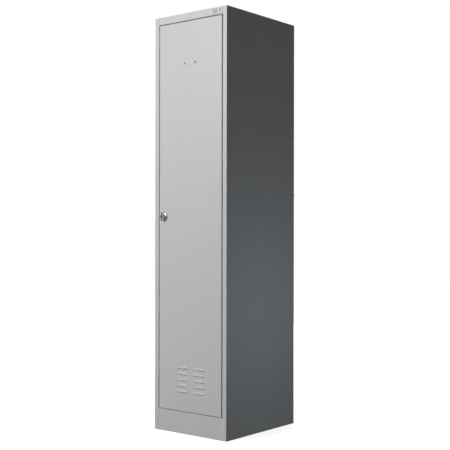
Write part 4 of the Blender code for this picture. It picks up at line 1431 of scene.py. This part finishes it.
# ------------------------------------------------------------------------------ fittings
@dataclass
class Fittings:
    """The pivots, the buffers, the rear screws and the label."""

    pin: float = 0.003
    pin_head: float = 0.005
    bush_wall: float = 0.0014
    bush_flange: float = 0.001
    bush_flange_radius: float = 0.0075

    def build(self, bench: Bench) -> None:
        """Builds and dresses the small pieces."""
        for end, up in (("upper", 1), ("lower", -1)):
            self.pivot(bench, end, up)
            bench.dress("pivot_plate_" + end, "zinc")
            bench.dress("hinge_bracket_" + end, "zinc")
        low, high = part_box("hinge_washer")
        ring = [(self.bush_flange_radius, 0), (self.bush_flange_radius, high.z - low.z)]
        ring += [(self.pin + GAP, high.z - low.z), (self.pin + GAP, 0)]
        shape = Shape.turned(rounded(ring, 0.00015, 3, closed=True), closed=True)
        place = middle_of("hinge_washer")
        shape.moved(Matrix.Translation((place.x, place.y, low.z)))
        bench.finish("pivot_washer", shape, "zinc", Body.DOOR, ["hinge_washer"])
        self.buffers(bench)
        self.rear_screws(bench)
        self.label(bench)

    def pivot(self, bench: Bench, end: str, up: int) -> None:
        """Turns one pivot's pin and bush."""
        node = "pivot_pin_" + end
        low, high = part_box(node)
        length, head = high.z - low.z, 0.003
        outline = [(0, length), (self.pin, length), (self.pin, head)]
        outline += [(self.pin_head, head), (self.pin_head, 0), (0, 0)]
        foot = low.z if up > 0 else high.z
        place = middle_of(node)
        matrix = facing((0, 0, up), (place.x, place.y, foot))
        shape = Shape.turned(rounded(outline, 0.0006, 4), ROUND).moved(matrix)
        bench.finish("hinge_pin_" + end, shape, "zinc", Body.DOOR, [node])
        node = "hinge_bush_" + end
        low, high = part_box(node)
        length, outer = high.z - low.z, self.pin + GAP + self.bush_wall
        ring = [
            (outer, length),
            (outer, self.bush_flange),
            (self.bush_flange_radius, self.bush_flange),
            (self.bush_flange_radius, 0),
            (self.pin + GAP, 0),
            (self.pin + GAP, length),
        ]
        matrix = facing((0, 0, up), (place.x, place.y, low.z if up > 0 else high.z))
        section = rounded(ring, 0.0003, 3, closed=True)
        shape = Shape.turned(section, ROUND, closed=True).moved(matrix)
        bench.finish("pivot_bush_" + end, shape, "white_nylon", Body.CARCASS, [node])

    def buffers(self, bench: Bench) -> None:
        """Turns the rubber buffers with their domed noses."""
        for end in ("upper", "middle", "lower"):
            node = "door_buffer_" + end
            low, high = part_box(node)
            radius, length = (high.x - low.x) / 2, high.y - low.y
            profile = rounded([(0, length), (radius, length), (radius, 0), (0, 0)], 0.0013, 6)
            place = middle_of(node)
            shape = Shape.turned(profile, ROUND)
            shape.moved(facing(AHEAD, (place.x, high.y, place.z)))
            bench.finish("rubber_buffer_" + end, shape, "rubber", Body.CARCASS, [node])

    def rear_screws(self, bench: Bench) -> None:
        """Turns the pan heads of the rear screws and cuts their cross recesses."""
        for side in ("left", "right"):
            node = "rear_screw_" + side
            low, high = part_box(node)
            head, radius = 0.0055, (high.x - low.x) / 2
            length = high.y - low.y - head
            dome = arc(90.0, 9.0, 9)
            profile = [(radius * x**0.6, head * (0.3 + 0.7 * z**0.7)) for x, z in dome]
            profile += [(radius, head * 0.3), (radius, 0), (0.002, 0), (0.002, -length), (0, -length)]
            place = middle_of(node)
            matrix = facing(REAR, (place.x, high.y - head, place.z))
            arms = Shape.recess(0.0032, 0.0005, head, 0.002, matrix)
            shape = Shape.turned(profile).moved(matrix)
            bench.finish(
                "back_screw_" + side, shape, "zinc", Body.CARCASS, [node], holes=arms, crease=CRISP
            )

    def label(self, bench: Bench) -> None:
        """Makes the label with rounded corners."""
        low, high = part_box("header_label")
        half_x, half_z = (high.x - low.x) / 2, (high.z - low.z) / 2
        corners = [(half_x, half_z), (-half_x, half_z), (-half_x, -half_z), (half_x, -half_z)]
        outline = rounded(corners, 0.0022, 6, closed=True)
        thick, edge = high.y - low.y, 0.0001
        levels = ((0.0, 0.0), (0.0, thick - edge), (edge, thick))
        shape = Shape.stacked(outline, (half_x, half_z), levels)
        shape.moved(Matrix.Translation((low.x + half_x, high.y, low.z + half_z)) @ ALONG_Y)
        bench.finish("blank_label", shape, "label", Body.CARCASS, ["header_label"], crease=CRISP)


# ------------------------------------------------------------------------------ studio
@dataclass
class Studio:
    """The floor, the lights and the camera."""

    eye: tuple[float, float, float] = (2.658, -3.2786, 0.880)
    yaw: float = 39.023
    pitch: float = 0.258
    roll: float = 0.106
    lens: float = 73.69
    shift_up: float = 0.0103
    floor_half: float = 12.0
    mirrored_glow: float = 0.13
    ambient: float = 0.087
    ambient_colour: tuple[float, float, float, float] = (1.0, 0.975, 0.945, 1.0)

    def build(self) -> None:
        """Builds the studio round the locker."""
        self.floor()
        self.world()
        front = self.light("front_softbox", (-0.9, -5.5, 1.6), (0.0, -0.24, 0.95), 2.4, 116.0)
        front.visible_glossy = False
        self.light("key_softbox", (-1.2, -3.3, 2.4), (0.1, -0.24, 1.5), 1.0, 62.0)
        side = self.light("side_glow", (0.96, 0.0, 0.55), (0.2, 0.0, 0.55), 0.3, 0.74)
        side.data.color = (0.74, 0.89, 1.0)
        side.visible_camera = False
        self.light("rear_softbox", (-2.2, 4.2, 2.2), (0.0, 0.25, 0.95), 2.4, 110.0)
        self.light("top_softbox", (-0.9, 1.2, 4.2), (-0.1, 0.1, 1.85), 1.6, 20.0)
        card = self.light("reflection_card", (-2.7, -1.9, 2.9), (-0.15, -0.25, 1.0), 2.8, 9.0)
        card.visible_diffuse = False
        self.camera()
        bpy.context.scene.view_settings.view_transform = "Standard"
        LOG.info("studio: floor, world, six lights and camera")

    def floor(self) -> None:
        """Lays a pale floor with a painted glow, dimmer near the locker and white far off."""
        shape = Shape.flat(2 * self.floor_half, 2 * self.floor_half)
        floor = shape.piece("studio_floor")
        graph = ShaderGraph("studio_floor")
        across, ahead, _ = graph.along()
        # painted light: the floor glows by itself, dimmer near the locker and white from about 2 m off,
        # so the far floor merges into the white backdrop
        painted_glow_share = (across * across + ahead * ahead).ramp(0.15, 4.0)
        graph.surface(
            Base_Color=(0.60, 0.60, 0.60, 1.0),
            Roughness=0.9,
            Specular_IOR_Level=0.0,
            Emission_Color=graph.blend((0.83, 0.83, 0.835, 1.0), WHITE, painted_glow_share),
            Emission_Strength=1.0,
        )
        floor.data.materials.append(graph.material)
        floor.visible_diffuse = False
        floor.visible_glossy = False

    def world(self) -> None:
        """Sets a white backdrop that lights the locker only softly."""
        world = bpy.data.worlds.new("studio_world")
        bpy.context.scene.world = world
        world.use_nodes = True
        tree = world.node_tree
        tree.nodes.clear()
        path = tree.nodes.new("ShaderNodeLightPath")
        shades = ((WHITE, 1.0), (WHITE, self.mirrored_glow), (self.ambient_colour, self.ambient))
        seen, glow, light = (tree.nodes.new("ShaderNodeBackground") for _ in shades)
        for shade, (colour, strength) in zip((seen, glow, light), shades):
            shade.inputs["Color"].default_value = colour
            shade.inputs["Strength"].default_value = strength
        glossy, camera = (tree.nodes.new("ShaderNodeMixShader") for _ in range(2))
        out = tree.nodes.new("ShaderNodeOutputWorld")
        for source, target in (
            (path.outputs["Is Glossy Ray"], glossy.inputs[0]),
            (light.outputs[0], glossy.inputs[1]),
            (glow.outputs[0], glossy.inputs[2]),
            (path.outputs["Is Camera Ray"], camera.inputs[0]),
            (glossy.outputs[0], camera.inputs[1]),
            (seen.outputs[0], camera.inputs[2]),
            (camera.outputs[0], out.inputs["Surface"]),
        ):
            tree.links.new(source, target)

    @staticmethod
    def light(
        name: str, place: Sequence[float], target: Sequence[float], size: float, watts: float
    ) -> bpy.types.Object:
        """Hangs a square softbox that looks at a target."""
        data = bpy.data.lights.new(name, "AREA")
        data.size = size
        data.energy = watts
        lamp = bpy.data.objects.new(name, data)
        bpy.context.scene.collection.objects.link(lamp)
        lamp.location = place
        lamp.rotation_euler = (Vector(target) - Vector(place)).to_track_quat("-Z", "Y").to_euler()
        return lamp

    def camera(self) -> None:
        """Sets the camera at the front right, about chest high."""
        data = bpy.data.cameras.new("camera")
        data.lens = self.lens
        data.shift_y = self.shift_up
        eye = bpy.data.objects.new("camera", data)
        bpy.context.scene.collection.objects.link(eye)
        eye.matrix_world = (
            Matrix.Translation(self.eye)
            @ Matrix.Rotation(math.radians(self.yaw), 4, "Z")
            @ Matrix.Rotation(math.radians(90 + self.pitch), 4, "X")
            @ Matrix.Rotation(math.radians(self.roll), 4, "Z")
        )
        bpy.context.scene.camera = eye


def main() -> None:
    """Builds the locker's looks and its studio."""
    logging.basicConfig(level=logging.INFO, format="%(name)s: %(message)s")
    bench = Bench(Finishes(middle_of("latch_housing"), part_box("header_label")))
    for assembly in (Carcass(), Door(), NumberPlate(), Latch(), Interior(), Fittings()):
        assembly.build(bench)
    LOG.info("%d pieces made", bench.count)
    Studio().build()


if __name__ == "__main__":
    main()
